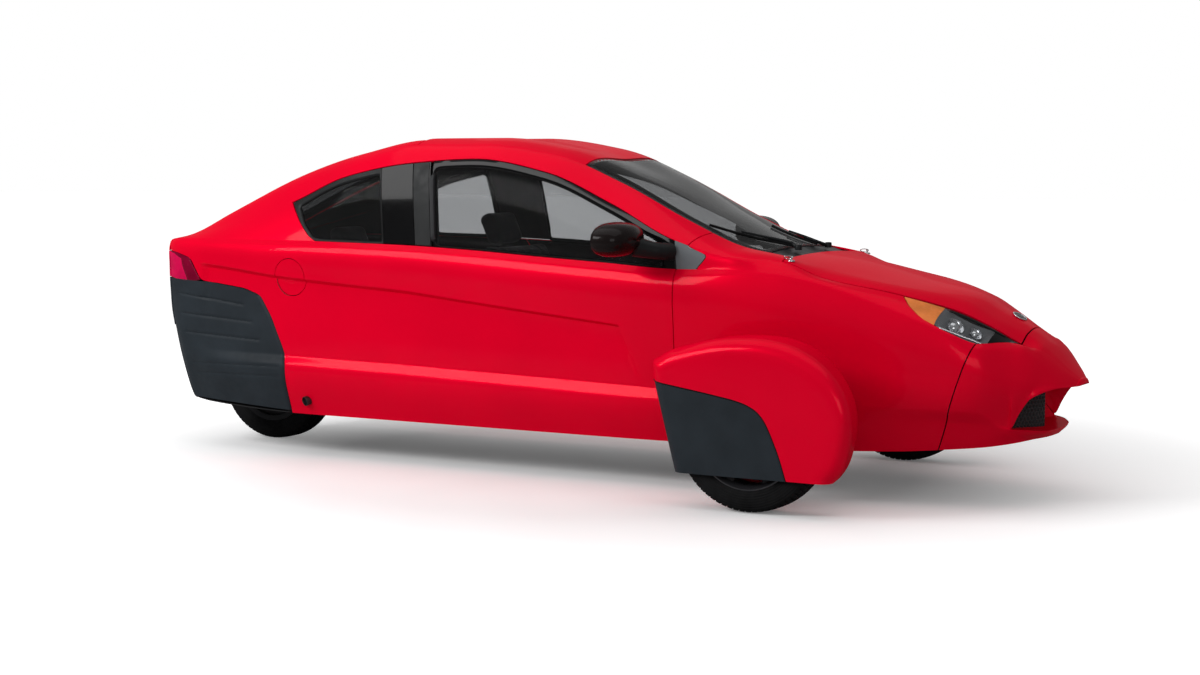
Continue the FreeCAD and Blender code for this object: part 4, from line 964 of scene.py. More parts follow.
class CAR_OT_roof(CarOperator, bpy.types.Operator):
    """Builds the roof, the windscreen, the glass hatch, the cowl with its wipers and the tail's upper lip"""
    bl_idname = "car.roof"
    bl_label = "Roof and Windscreen"

    def execute(self, context):
        roof = patch(HATCH_FRONT + GAP, HEADER - GAP, TOP, EDGE, 12, 36)
        painted_panel("roof_skin", both(roof), replaces="roof_panel")
        painted_panel("tail_lip", both(patch(TAIL_X, HATCH_REAR - GAP, TOP, EDGE, 12, 8)))
        self.glass("windscreen_pane", HEADER + GAP, SCREEN_FOOT - GAP, "front glazing", "body", "windscreen")
        self.glass("hatch_pane", HATCH_REAR + GAP, HATCH_FRONT - GAP, "rear glazing", "rear_hatch",
                   "rear_hatch",
                   0.007, 0.8)
        rail = patch(HATCH_REAR + GAP, HATCH_FRONT - GAP, 0.803, 0.985, 6, 40)
        painted_panel("hatch_rails", both(rail), body="rear_hatch")
        cowl = patch(SCREEN_FOOT + GAP, HOOD_REAR - GAP, TOP, EDGE, 12, 24)
        depth = 0.006 + 0.006 * np.sin((cowl[0] - SCREEN_FOOT) / (HOOD_REAR - SCREEN_FOOT) * np.pi)[..., None]
        panel("cowl_panel", both(cowl, depth), "satin frame", "body", slot="black_cladding",
              wall=0.004, replaces="cowl", sharp=40)
        self.wipers()
        return {"FINISHED"}

    def glass(self, name, rear, front, look, body, node, crown=0.0, edge=0.985):
        """A pane set 1.5 mm under the skin, and a printed dark border just under it."""
        pane = patch(rear, front, TOP, edge, 12, 30)
        sunk = (0.0015 + crown * (1 - pane[1] ** 2))[..., None]
        panel(name, both(pane, sunk), look, body, slot="window_glass", wall=0.004, sharp=50, replaces=node)
        inset_u, inset_v = 0.045, 0.16
        borders = [(rear, rear + inset_u, TOP, edge), (front - inset_u, front, TOP, edge),
                   (rear + inset_u, front - inset_u, edge - inset_v, edge)]
        grids = []
        for u0, u1, v0, v1 in borders:
            border = patch(u0, u1, v0, v1, 8, 26)
            grids += both(border, (0.0065 + crown * (1 - border[1] ** 2))[..., None])
        panel(name + "_border", grids, "gloss frame", body, slot="black_gloss", wall=0.0015)

    def wipers(self):
        """Two arms with blades that follow the glass a little way above it."""
        arms, blades = [], []
        for pivot_y, tip_u, tip_v, side in ((0.13, 0.62, 0.88, RIGHT), (0.16, 0.70, 0.35, LEFT)):
            pivot = np.array([0.93, side * pivot_y, spot(0.93, 0.45)[2] + 0.004])
            t = even(29)
            foot = spot(0.90 + (tip_u - 0.90) * t, 0.35 + (tip_v - 0.35) * t, side)
            blades += tube(foot + np.array([0, 0, 0.006]), 0.0055, 8)
            lifted = foot[::3] + np.array([0, 0, 0.018]) * np.sin(
                np.linspace(0.35, 1, 10) * np.pi * 0.8)[:, None]
            arm = np.vstack([[pivot], lifted[:7]])
            arms += tube(resampled(arm, 24), np.linspace(0.008, 0.004, 24), 8)
            arms += [turned([(0, 0.016), (0.012, 0.015), (0.014, 0.008), (0.014, -0.006)], pivot, (0, 0, 1),
                            20)]
        panel("wiper_arms", arms, "satin frame", "body", slot="black_cladding", sharp=40)
        panel("wiper_blades", blades, "seal rubber", "body", slot="black_cladding", sharp=40)


class CAR_OT_sides(CarOperator, bpy.types.Operator):
    """Builds the two sides behind the fenders, and the round fuel flap"""
    bl_idname = "car.sides"
    bl_label = "Side Panels and Fuel Flap"

    def execute(self, context):
        rail = fan(upright(TAIL_X, EDGE, FRAME), shifted(A_PILLAR, -GAP), BAND_ROWS, even(64))
        rear_band = fan(upright(TAIL_X, FRAME, BELT), shifted(QUARTER_TIP, -0.001), [(FRAME, BELT, even(10))],
                        even(24))
        behind, start = above_tail_edge(FLANK_ROWS), upright(SIDE_SPLIT, BELT, SILL)
        shoulder = flank(start, shifted(DOOR_EDGE, -GAP), FLANK_ROWS, 80)
        centre = sum(box("fuel_flap")) / 2
        radius = context.scene.car_details.flap_radius
        opened = around_circle(behind, centre[0], centre[2], radius + GAP * 1.4, 0.014) + shoulder
        painted_panel("side_skin_right", [on_body(g, RIGHT) for g in [rail, rear_band] + opened],
                      replaces="side_panel_right")
        upper = [fan(start, shifted(DOOR_REAR, -GAP), [SHOULDER, FLANK_TOP, FLANK], even(40)), behind]
        lower = flank(start, shifted(DOOR_EDGE, -GAP), [(ROCKER + SHUT * 0.6, BULGE, FROM_ROCKER), UNDER],
                      100)
        painted_panel("side_skin_left", [on_body(g, LEFT) for g in [rail, rear_band] + upper + lower],
                      replaces="side_panel_left")
        edge = REAR_EDGE[REAR_EDGE[:, 0] > -1.95]
        behind_seam = strip(shifted(edge, -0.03), shifted(edge, 0.03), even(5), 200)
        panel("tail_seam_backing", both(behind_seam, 0.013), "under plastic", "body",
              slot="under_plastic", wall=0.002)
        self.flap(centre, radius)
        return {"FINISHED"}

    def flap(self, centre, radius):
        """The flap is the side's own surface inside a circle: rings of points out from its centre, each laid
        on the skin by its place along the car and its height."""
        angle = np.linspace(0, 2 * np.pi, 97)
        reach = np.array([0, 0.15, 0.3, 0.45, 0.6, 0.72, 0.82, 0.9, 0.96, 1.0])[:, None] * radius
        x, z = centre[0] + reach * np.cos(angle), centre[2] + reach * np.sin(angle)
        v = v_at(x, z, BELT, ROCKER)
        painted_panel("flap_skin", [on_body((x, v), RIGHT)], body="fuel_flap", replaces="fuel_flap",
                      centre=(centre[0], 0, centre[2]))
        bowl = turned([(radius + 0.004, 0.0), (radius + 0.002, 0.03), (radius * 0.6, 0.05), (0, 0.05)],
                      (centre[0], centre[1] + 0.014, centre[2]), (0, 1, 0), 64)
        panel("filler_bowl", [bowl], "under plastic", "body", slot="under_plastic", wall=0.002,
              centre=(centre[0], centre[1] + 0.5, centre[2]))
        cap = turned([(0, -0.022), (0.022, -0.022), (0.026, -0.018), (0.03, 0.0), (0.03, 0.01)],
                     (centre[0], centre[1] + 0.050, centre[2]), (0, 1, 0), 40)
        grip = rounded_box(centre + (-0.02, 0.0245, -0.004), centre + (0.02, 0.032, 0.004), 0.003, 4)
        panel("filler_cap", [cap] + grip, "under plastic", "body", slot="under_plastic", sharp=40,
              centre=centre + (0, 0.08, 0))


class CAR_OT_nose(CarOperator, bpy.types.Operator):
    """Builds the fenders, the hood, the bumper with its mouth, the hood pins and the bare badge"""
    bl_idname = "car.nose"
    bl_label = "Nose"

    def execute(self, context):
        pillar_foot = fan(shifted(A_PILLAR, GAP), upright(HOOD_REAR - GAP, EDGE, FRAME), BAND_ROWS, even(16))
        beside_cowl = fan(shifted(SAIL_FRONT, GAP), upright(HOOD_REAR, FRAME, BELT),
                          [(FRAME, BELT, even(12))], even(20))
        beside_hood = fan(upright(HOOD_REAR, FRAME + SHUT, BELT), shifted(LAMP_REAR, -GAP),
                          [(FRAME + SHUT, BELT, even(12))], even(24))
        flank_front = fan(shifted(DOOR_EDGE, GAP), shifted(BUMPER_SEAM, -GAP), FLANK_ROWS, even(64))
        for name, side in SIDES:
            grids = [on_body(g, side) for g in (pillar_foot, beside_cowl, beside_hood, flank_front)]
            painted_panel("fender_skin_" + name, grids, replaces="fender_" + name)
        middle = patch(HOOD_REAR + GAP, HOOD_FRONT - GAP, TOP, EDGE, 14, 60)
        edge = patch(HOOD_REAR + GAP, HOOD_FRONT - GAP, EDGE, FRAME - SHUT, 7, 60)
        painted_panel("hood_skin", both(middle) + both(edge), body="hood", replaces="hood")
        self.bumper()
        self.hood_pins()
        self.badge()
        self.underside()
        return {"FINISHED"}

    def bumper(self):
        """The nose between the hood, the lamps and the mouth, closed at its tip by a cap: quarter ellipses
        from the skin's end to the middle of the section."""
        tip = [upright(NOSE_END, low, high) for low, high in ((TOP, FRAME), (FRAME, BELT), (BELT, ROCKER))]
        over = fan(upright(HOOD_FRONT + GAP, TOP, FRAME), tip[0], TOP_ROWS + BAND_ROWS, even(26))
        beside_lamp = fan(shifted(LAMP_FRONT, GAP), tip[1], [(FRAME, BELT, PLAIN)], even(34))
        cheek = fan(shifted(BUMPER_SEAM, GAP), tip[2], FLANK_ROWS[:3], even(56))
        beside_mouth = fan(shifted(BUMPER_SEAM, GAP), upright(MOUTH_CORNER, ROCKER, BULGE), [STEP], even(24))
        lip = fan(shifted(BUMPER_SEAM, GAP), upright(NOSE_TIP, BULGE, SILL), [UNDER], even(64))
        v = np.linspace(0, ROCKER, 25)[:, None]
        rim = skin(NOSE_END, v)[:, 0]
        rim = np.concatenate([rim, rim[-1:] * (1, 0, 1)])
        turn = np.linspace(0, np.pi / 2, 8)[None, :, None]
        middle = rim * np.array([1, 0, 0]) + np.array([0, 0, rim[:, 2].mean()])
        close = middle[:, None] + (rim - middle)[:, None] * np.cos(turn) + np.array(
            [0.012, 0, 0]) * np.sin(turn)
        grids = both(over) + both(beside_lamp) + both(cheek) + both(beside_mouth) + both(lip)
        panel("bumper_skin", grids, "red paint", "body", slot="body_paint", wall=0.003, bevel=0.001, sharp=32,
              replaces="front_bumper")
        panel("nose_cap", [close, close * np.array([1, -1, 1])], "red paint", "body", slot="body_paint",
              sharp=60, centre=(NOSE_END - 0.02, 0, rim[:, 2].mean()))
        self.mouth()

    def mouth(self):
        """The walls of the mouth: its outline carried back to a smaller, level sided one at the grille."""
        u = np.linspace(MOUTH_CORNER, NOSE_TIP, 40)
        upper = skin(np.minimum(u, NOSE_END), ROCKER)
        upper[-1, 1] = 0.0
        lower = skin(u, BULGE + 0.001)
        box_low, box_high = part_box("grille")
        back = box_high[0] + 0.012
        rows = eased(even(6)) * 0.3 + even(6) * 0.7
        walls = []
        for edge, z in ((upper, box_high[2] - 0.006), (lower, box_low[2] + 0.006)):
            inner = np.stack([np.full(40, back), np.minimum(edge[:, 1], 0.207), np.full(40, z)], -1)
            inner[:4, 2] = np.linspace(0.36, z, 4)
            grid = between(edge[None], inner[None], rows[:, None, None])
            walls += [grid, grid * np.array([1, -1, 1])]
        obj = mesh_object("mouth_walls", [facing(g, (1.9, 0, 0.36))[:, ::-1] for g in walls])
        finish(obj, "red paint", "body", slot="body_paint", sharp=35)

    def hood_pins(self):
        """A short plaited loop and a pin on a round plate, one each side at the rear of the hood."""
        grids = []
        for side in (LEFT, RIGHT):
            base = spot(1.01, 1.62, side)
            grids.append(turned([(0, 0.004), (0.012, 0.0035), (0.014, 0.001), (0.014, -0.002)], base,
                                (0, 0, 1), 24))
            grids += tube([base, base + (0, 0, 0.017)], 0.004, 10)
            t = np.linspace(0, 2 * np.pi, 28)
            loop = base + np.stack([0.018 * np.cos(t) - 0.012, 0.004 * np.sin(2 * t),
                                    0.012 + 0.006 * np.sin(t)], -1)
            grids += tube(loop, 0.0018, 8)
        panel("hood_pins", grids, "bright steel", "body", slot="engine_metal", sharp=40)

    def badge(self):
        """A bare oval dome in a bright ring, where a badge would be."""
        u0 = 1.785
        centre = skin(u0, 0.0)
        slope = unit(skin(u0 + 0.01, 0.0) - skin(u0 - 0.01, 0.0))
        up = np.array([-slope[2], 0, slope[0]])
        a = np.linspace(0, 2 * np.pi, 49)
        around = 0.026 * np.cos(a)[:, None] * slope + 0.033 * np.sin(a)[:, None] * np.array([0, 1.0, 0])
        r = np.linspace(0, 1, 8)[:, None, None]
        dome = centre + r * around[None] * 0.9 + (0.0015 + 0.0035 * (1 - r ** 2)) * up
        panel("badge_oval", [dome], "badge enamel", "hood", slot="black_gloss", sharp=60)
        ring = centre + around + 0.0022 * up
        panel("badge_ring", tube(ring[:-1], 0.0032, 10, closed=True), "bright steel", "hood",
              slot="engine_metal", sharp=60)

    def underside(self):
        """A flat skin between the two sill lines, from the front bulkhead to the lip."""
        u = np.linspace(0.885, NOSE_TIP - 0.002, 60)
        edge = skin(u, SILL) - np.array([0, 0.004, 0])
        edge[:, 1] = np.maximum(edge[:, 1], 0.0)
        share = np.linspace(-1, 1, 9)[:, None, None]
        grid = edge[None] * np.array([1, 0, 1]) + edge[None] * np.array([0, 1, 0]) * share
        panel("nose_floor", [grid], "under plastic", "body", slot="under_plastic", wall=0.003,
              centre=(1.4, 0, 0.6))


class CAR_OT_windows(CarOperator, bpy.types.Operator):
    """Builds the dark window bands with their glass, seals, pillars and mirror sails"""
    bl_idname = "car.windows"
    bl_label = "Side Windows"

    def execute(self, context):
        main, quarter = (MAIN_OUTER, MAIN_GLASS), (QUARTER_OUTER, QUARTER_GLASS)
        for name, loops, side, body, look, node in (
                ("right_main", main, RIGHT, "body", "gloss frame", "window_frame_right"),
                ("right_quarter", quarter, RIGHT, "body", "satin frame", ()),
                ("left_quarter", quarter, LEFT, "body", "satin frame", "window_frame_left"),
                ("door_window", main, LEFT, "left_door", "gloss frame", "door_frame")):
            self.ring(name + "_frame", *loops, side, body, look, node)
            path = on_body(loops[1].T, side, 0.0045)
            panel(name + "_seal", tube(path[:-1], 0.0032, 8, closed=True), "seal rubber", body,
                  slot="black_gloss", sharp=60)
        pane = pane_of(MAIN_GLASS, COUNTS)
        panes = [on_body(pane, RIGHT, PANE_DEPTH)] + both(pane_of(QUARTER_GLASS, QUARTER_COUNTS), PANE_DEPTH)
        how = dict(slot="window_glass", wall=0.004, sharp=60)
        panel("side_panes", panes, "side glazing", "body", replaces="side_glass", **how)
        panel("door_pane", [on_body(pane, LEFT, PANE_DEPTH)], "side glazing", "left_door",
              replaces="door_glass", **how)
        for name, side in SIDES:
            self.pillars(side, name)
            self.sail(side, name)
        return {"FINISHED"}

    def ring(self, name, outer, inner, side, body, look, node):
        """A frame between two loops, 2 mm under the skin and rolled in by 4 mm at the glass."""
        rows = np.array([0, 0.1, 0.3, 0.55, 0.8, 0.92, 0.98, 1.0])
        sunk = 0.002 + 0.0045 * eased((rows - 0.8) / 0.2)
        sunk[0] = 0.005
        grid = on_body(between_loops(outer, inner, rows), side, sunk[:, None, None])
        panel(name, [grid], look, body, slot="black_gloss", wall=0.012, inner="cabin grain", sharp=40,
              replaces=node)

    def pillars(self, side, name):
        """Upright strips between the two windows: a broad gloss one, a satin one, and a thin gloss lip."""
        rows = [(2.012, 2.988, even(10))]
        parts = (("broad", -0.869, -0.711, 0.0012, "gloss frame", 8),
                 ("satin", -0.709, -0.630, 0.002, "satin frame", 6),
                 ("lip", -0.628, -0.6215, 0.0008, "gloss frame", 2))
        for part, rear, front, sunk, look, count in parts:
            grid = on_body(fan(leaning(rear), leaning(front), rows, even(count)), side, sunk)
            body = "body" if part == "broad" or side == RIGHT else "left_door"
            panel("pillar_%s_%s" % (part, name), [grid], look, body, slot="black_gloss", wall=0.01,
                  bevel=0.001,
                  sharp=40)

    def sail(self, side, name):
        """The three cornered piece ahead of the main window, from the frame line down to the belt."""
        rear = resampled([(0.552, 2.0), (0.566, 3.0)], 120)
        grid = fan(shifted(rear, 0.001), shifted(SAIL_FRONT, -GAP), [(FRAME, BELT, even(16))], even(10))
        panel("sail_" + name, [on_body(grid, side, 0.001)], "slate sail", "body",
              slot="black_cladding", wall=0.008, bevel=0.0015, sharp=40)


class CAR_OT_door(CarOperator, bpy.types.Operator):
    """Builds the left door's shell with its flush handle and its inner trim"""
    bl_idname = "car.door"
    bl_label = "Door"

    def execute(self, context):
        rows = [SHOULDER, FLANK_TOP, FLANK]
        grids = flank(shifted(DOOR_REAR, GAP), shifted(upright(DOOR_FRONT, BELT, ROCKER), -GAP), rows, 60)
        painted_panel("door_skin", [on_body(g, LEFT) for g in grids], "left_door", "cabin grain",
                      replaces="door_shell")
        trim = patch(-0.66, 0.53, 3.15, 5.9, 20, 40)
        swell = 0.02 - 0.012 * np.exp(-((trim[1] - 4.9) / 0.35) ** 2)
        grid = on_body(trim, LEFT, swell[..., None])
        panel("door_trim", [grid], "cabin grain", "left_door", centre=(0, 2.0, 0.7), slot="cabin_trim",
              wall=0.004,
              sharp=50)
        self.handle()
        return {"FINISHED"}

    def handle(self):
        """A flush pull near the door's rear edge, and a lock barrel."""
        z = line_z(HIP, -0.52) - 0.045
        v = float(v_at(-0.52, z, HIP, CREASE))
        face = spot(-0.52, v)
        bar = rounded_box((-0.60, face[1] - 0.004, z - 0.013), (-0.44, face[1] + 0.0045, z + 0.013), 0.006, 6)
        panel("door_pull", bar, "red paint", "left_door", slot="body_paint",
              centre=(-0.52, face[1], z), sharp=40)
        lock = turned([(0, 0.003), (0.007, 0.0028), (0.009, 0.001), (0.009, -0.004)],
                      (-0.635, spot(-0.635, v)[1], z), (0, 1, 0), 24)
        panel("door_lock", [lock], "bright steel", "left_door", slot="engine_metal", sharp=40)


class CAR_OT_lamps(CarOperator, bpy.types.Operator):
    """Builds the headlamps and the tail lamps"""
    bl_idname = "car.lamps"
    bl_label = "Lamps"

    def execute(self, context):
        self.headlamps()
        self.tail_lamps()
        return {"FINISHED"}

    def lamp_patch(self, u_from, u_to, columns=20):
        """Part of a headlamp's face: the band between the hood and the fender, cut off at its own rear and
        front curves."""
        rear = np.maximum(LAMP_REAR[:, 0], u_from) if u_from else LAMP_REAR[:, 0] + GAP
        rear_curve = np.stack([rear, LAMP_REAR[:, 1]], -1)
        front = np.minimum(LAMP_FRONT[:, 0] - GAP, u_to)
        front_curve = np.stack([np.maximum(front, rear[0]), LAMP_FRONT[:, 1]], -1)
        return fan(rear_curve, front_curve, [(FRAME + SHUT, BELT - 0.02, even(14))], even(columns))

    def headlamps(self):
        """Each lamp: an amber rear part, a clear cover over a bowl, a black front tip and a brow."""
        amber_end, clear_end = 1.592, 1.768
        band = fan(upright(1.61, 2.05, 2.3), upright(1.80, 2.05, 2.3), [(2.05, 2.17, even(3))], even(20))
        rows = (("amber_lens_", self.lamp_patch(0, amber_end), 0.001, "amber lens", "clear_lamp", 0.004,
                 0.001),
                ("clear_lens_", self.lamp_patch(amber_end + 0.0015, clear_end), 0.001, "lens", "clear_lamp",
                 0.003, 0.0),
                ("lamp_tip_", self.lamp_patch(clear_end + 0.001, 1.9), 0.001, "gloss frame", "black_gloss",
                 0.004, 0.0),
                ("lamp_brow_", band, -0.0004, "gloss frame", "black_gloss", 0.0016, 0.0))
        for name, side in SIDES:
            for part, uv, sunk, look, slot, wall, bevel in rows:
                node = "headlamps" if look == "lens" and side == RIGHT else ()
                panel(part + name, [on_body(uv, side, sunk)], look, "body", slot, wall=wall, bevel=bevel,
                      sharp=60, replaces=node)
            self.bowl(side, name, amber_end, clear_end)

    def bowl(self, side, name, first, last):
        """The lamp's face sunk by up to 50 mm, as a product of two half waves, with two projectors and a
        bright strip in it."""
        clear = self.lamp_patch(first, last + 0.01, 24)
        down = np.clip((clear[1] - FRAME) / (BELT - FRAME), 0, 1)
        depth = 0.004 + 0.05 * np.sin(even(24) * np.pi) * np.sin(down * np.pi) ** 0.6
        panel("lamp_bowl_" + name, [on_body(clear, side, depth[..., None])], "lamp bowl", "body",
              slot="black_gloss", sharp=60)
        chrome, glass = [], []
        for u, v, radius in ((1.66, 2.58, 0.027), (1.725, 2.52, 0.02)):
            n = unit(normals_at(np.array(u), np.array(v)) * (1, side, 1) + (0.5, side * 0.25, 0))
            seat = spot(u, v, side) - n * 0.024
            chrome.append(turned([(radius * 1.25, 0.012), (radius * 1.3, 0.006), (radius, 0.002),
                                  (radius * 0.8, -0.008), (radius * 0.8, -0.02)], seat, n, 40))
            glass.append(turned([(0, 0.016), (radius * 0.35, 0.0145), (radius * 0.65, 0.010),
                                 (radius * 0.85, 0.003), (radius * 0.9, -0.004)], seat, n, 40))
        bar = between(spot(1.60, 2.9, side), spot(1.745, 2.86, side), even(19)[:, None])
        chrome += tube(bar + np.array([0, -side * 0.010, -0.012]), 0.0045, 8)
        panel("lamp_rings_" + name, chrome, "lamp chrome", "body", slot="clear_lamp", sharp=50)
        panel("lamp_bulbs_" + name, glass, "mirror silver", "body", slot="clear_lamp", sharp=50)

    def tail_lamps(self):
        """Each tail lamp wraps from the side round to the rear face, with a smoked wedge at its front."""
        first, last = TAIL_RED_TOP + 0.02, TAIL_RED_FOOT - 0.02
        edge = seam([(-2028, 876), (-1967, 870), (-1883, 847), (-1819, 751)], HIP, ROCKER, (None, None), 120)
        uv = strip(upright(TAIL_X, first, last), shifted(edge, -GAP), even(24), 60)
        how = dict(slot="red_lamp", wall=0.004, sharp=40)
        for name, side in SIDES:
            grid = on_body((uv[0].T, uv[1].T), side, 0.001)
            rim = tail_round(first, last, side)
            node = "tail_lamps" if side == RIGHT else ()
            panel("tail_lens_" + name, [grid[:, :16], rim, tail_flat(rim[:, -1], 0.2635)], "tail lens",
                  "body",
                  replaces=node, **how)
            panel("tail_smoke_" + name, [grid[:, 15:]], "smoked lens", "body", **how)


def tail_line(z):
    """The line number of the tail's section at a height."""
    return float(v_at(TAIL_X, z, HIP, SILL))


TAIL_ROUND = TAIL_X - TAIL_FACE_X
TAIL_RED_TOP, TAIL_RED_FOOT = tail_line(0.878), tail_line(0.757)      # of the band that holds the lamps


def tail_round(first, last, side, count=24):
    """The rounded rim between the side and the rear face: a quarter circle swept along the tail's section
    from one line number to another."""
    v = np.linspace(first, last, count)
    p = skin(TAIL_X, v)
    ahead = skin(TAIL_X, np.minimum(v + 0.01, 8)) - skin(TAIL_X, v - 0.01)
    out = unit(np.stack([np.zeros(count), -ahead[:, 2], ahead[:, 1]], -1))
    turn = np.linspace(0, np.pi / 2, 7)[None, :, None]
    rear = np.array([-1.0, 0, 0])
    grid = p[:, None] - out[:, None] * TAIL_ROUND * (1 - np.cos(turn)) + rear * TAIL_ROUND * np.sin(turn)
    return grid * np.array([1.0, side, 1.0])


def tail_flat(edge, y_end, columns=10):
    """The flat of the rear face from the rim's inner edge to a half width."""
    target = edge.copy()
    target[:, 1] = np.sign(edge[:, 1].mean()) * y_end
    return between(edge[:, None], target[:, None], even(columns - 1)[:, None])


class CAR_OT_tail(CarOperator, bpy.types.Operator):
    """Builds the tail: its red lip and panel, the grained cladding with its grooves, and the bare plate"""
    bl_idname = "car.tail"
    bl_label = "Tail"

    # side view grooves (mm): first x and z, last x and z, depth
    GROOVES = ((-1988, 691, -1570, 647, 5.0), (-1973, 601, -1521, 574, 5.0), (-1945, 517, -1478, 496, 5.0),
               (-1902, 379, -1363, 388, 3.0), (-1885, 335, -1353, 344, 3.0))

    def execute(self, context):
        lip = []
        for side in (LEFT, RIGHT):
            rim = tail_round(TOP + 1e-6, TAIL_RED_TOP, side, 40)
            inner = rim[:, -1]
            floor = inner.copy()
            floor[:, 2] = np.minimum(inner[:, 2], 0.879)
            lip += [rim, between(inner[:, None], floor[:, None], even(5)[:, None])]
        painted_panel("tail_top", lip, centre=(-1.0, 0, 0.85))
        rows = tail_round(TAIL_RED_TOP + 0.02, TAIL_RED_FOOT - 0.02, LEFT)[:, -1, 2]
        half = 0.2615
        y = np.linspace(-half, half, 30)
        x = TAIL_FACE_X + 0.004 * np.cos(y / half * np.pi / 2) ** 0.2
        grid = np.stack(np.broadcast_arrays(x, y, rows[:, None]), -1)
        painted_panel("tail_middle", [grid], replaces="tail_panel", centre=(-1.0, 0, 0.82))
        self.cladding()
        self.plate()
        return {"FINISHED"}

    def cladding(self):
        """Straight rows between the tail's rear edge and the cladding's front edge, laid on the skin, less
        the grooves: bell curves across, eased away at their ends."""
        rear = resampled([(-2030, 755), (-2030, 640), (-2030, 541), (-1985, 393), (-1925, 219)], 130)
        front = resampled([(-1817, 745), (-1777, 743), (-1580, 721), (-1488, 692), (-1428, 604), (-1362, 466),
                           (-1338, 389), (-1343, 195)], 130)
        share = even(69)
        x, z = split(between(rear[:, None], front[:, None], share[:, None]))
        v = v_at(x * MM, z * MM, CREASE - 0.3, SILL)
        depth = np.zeros(x.shape)
        for x0, z0, x1, z1, deep in self.GROOVES:
            line = z0 + (z1 - z0) * (x - x0) / (x1 - x0)
            along = eased((x - x0) / 30) * eased((x1 - x) / 14)
            depth += deep * MM * np.exp(-((z - line) / 4.2) ** 2) * along
        rounded = 0.006 * (1 - eased((1 - share) / 0.012))
        grids = []
        for side in (LEFT, RIGHT):
            grids.append(on_body((x * MM, v), side, (0.001 + depth + rounded)[..., None]))
            rim = tail_round(TAIL_RED_FOOT + 0.01, SILL, side, 40)
            grids += [rim, tail_flat(rim[:, -1], 0.0, 16)]
        foot = skin(np.linspace(TAIL_X, -1.925, 14), SILL)[:, None]
        grids.append(foot * np.array([1, 0, 1]) + foot * np.array([0, 1, 0])
                     * np.linspace(-1, 1, 17)[:, None])
        panel("tail_cladding", grids, "cladding grain", "body", slot="black_cladding", wall=0.005,
              bevel=0.001, sharp=38,
              centre=(-1.6, 0, 0.5), replaces="rear_cladding")

    def plate(self):
        """A bare plate in a shallow frame, held by two screws."""
        x, screws = TAIL_FACE_X, []
        outer = rounded_box((x - 0.0015, -0.18, 0.625), (x + 0.012, 0.18, 0.735), 0.008, 5)
        panel("plate_frame", outer, "satin frame", "body", slot="black_cladding",
              centre=(x + 0.005, 0, 0.68), sharp=40)
        plate = rounded_box((x - 0.002, -0.155, 0.638), (x + 0.004, 0.155, 0.722), 0.004, 5)
        panel("plate_blank", plate, "blank plate", "body", slot="black_cladding",
              centre=(x + 0.001, 0, 0.68), sharp=40)
        for side in (-1, 1):
            screws.append(turned([(0, 0.0), (0.003, 0.0006), (0.0035, 0.0), (0.0062, -0.0004),
                                  (0.0066, -0.003)],
                                 (x - 0.002, side * 0.12, 0.69), (-1, 0, 0), 24))
        panel("plate_screws", screws, "bright steel", "body", slot="engine_metal", sharp=30)


class CAR_OT_grille(CarOperator, bpy.types.Operator):
    """Builds the six sided mesh in the mouth"""
    bl_idname = "car.grille"
    bl_label = "Grille"

    def execute(self, context):
        low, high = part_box("grille")
        pitch = context.scene.car_details.mesh_pitch
        rows_step = pitch * math.sqrt(3) / 2
        columns = int((high[1] - low[1]) / pitch)
        rows = int((high[2] - low[2]) / rows_step)
        j, i = np.meshgrid(np.arange(rows), np.arange(columns), indexing="ij")
        y = low[1] + pitch * (i + 0.5 + 0.5 * (j % 2))
        z = low[2] + rows_step * (j + 0.5)
        keep = y < high[1] - pitch * 0.4
        y, z = y[keep], z[keep]
        corner = np.arange(7) * np.pi / 3 + np.pi / 6
        outline = np.stack([np.cos(corner), np.sin(corner)], -1)
        # rows of one cell: its front outer edge, front inner edge, and the back of its inner wall
        size = pitch / math.sqrt(3)
        rings = np.array([[0.0, 1.0], [0.003, 0.95], [0.003, 0.82], [0.0, 0.78], [-0.007, 0.74]])
        cells = np.zeros((len(y), len(rings), 7, 3))
        cells[..., 1] = y[:, None, None] + rings[:, 1:] * size * outline[:, 0]
        cells[..., 2] = z[:, None, None] + rings[:, 1:] * size * outline[:, 1]
        cells[..., 0] = 1.885 - 0.095 * np.abs(cells[..., 1] / 0.21) ** 1.25 + rings[:, :1]
        quads = grid_quads(len(rings), 7)
        quads = (quads[None] + np.arange(len(y))[:, None, None] * len(rings) * 7).reshape(-1, 4)
        obj = object_from("grille_mesh", cells.reshape(-1, 3), quads)
        finish(obj, "grille black", "body", replaces="grille", slot="grille_black", sharp=30)
        backing = rounded_box(low, (low[0] + 0.002, high[1], high[2]), 0.001, 3)
        panel("grille_backing", backing, "under plastic", "body", slot="grille_black",
              centre=(low[0] + 0.001, 0, 0.36))
        return {"FINISHED"}


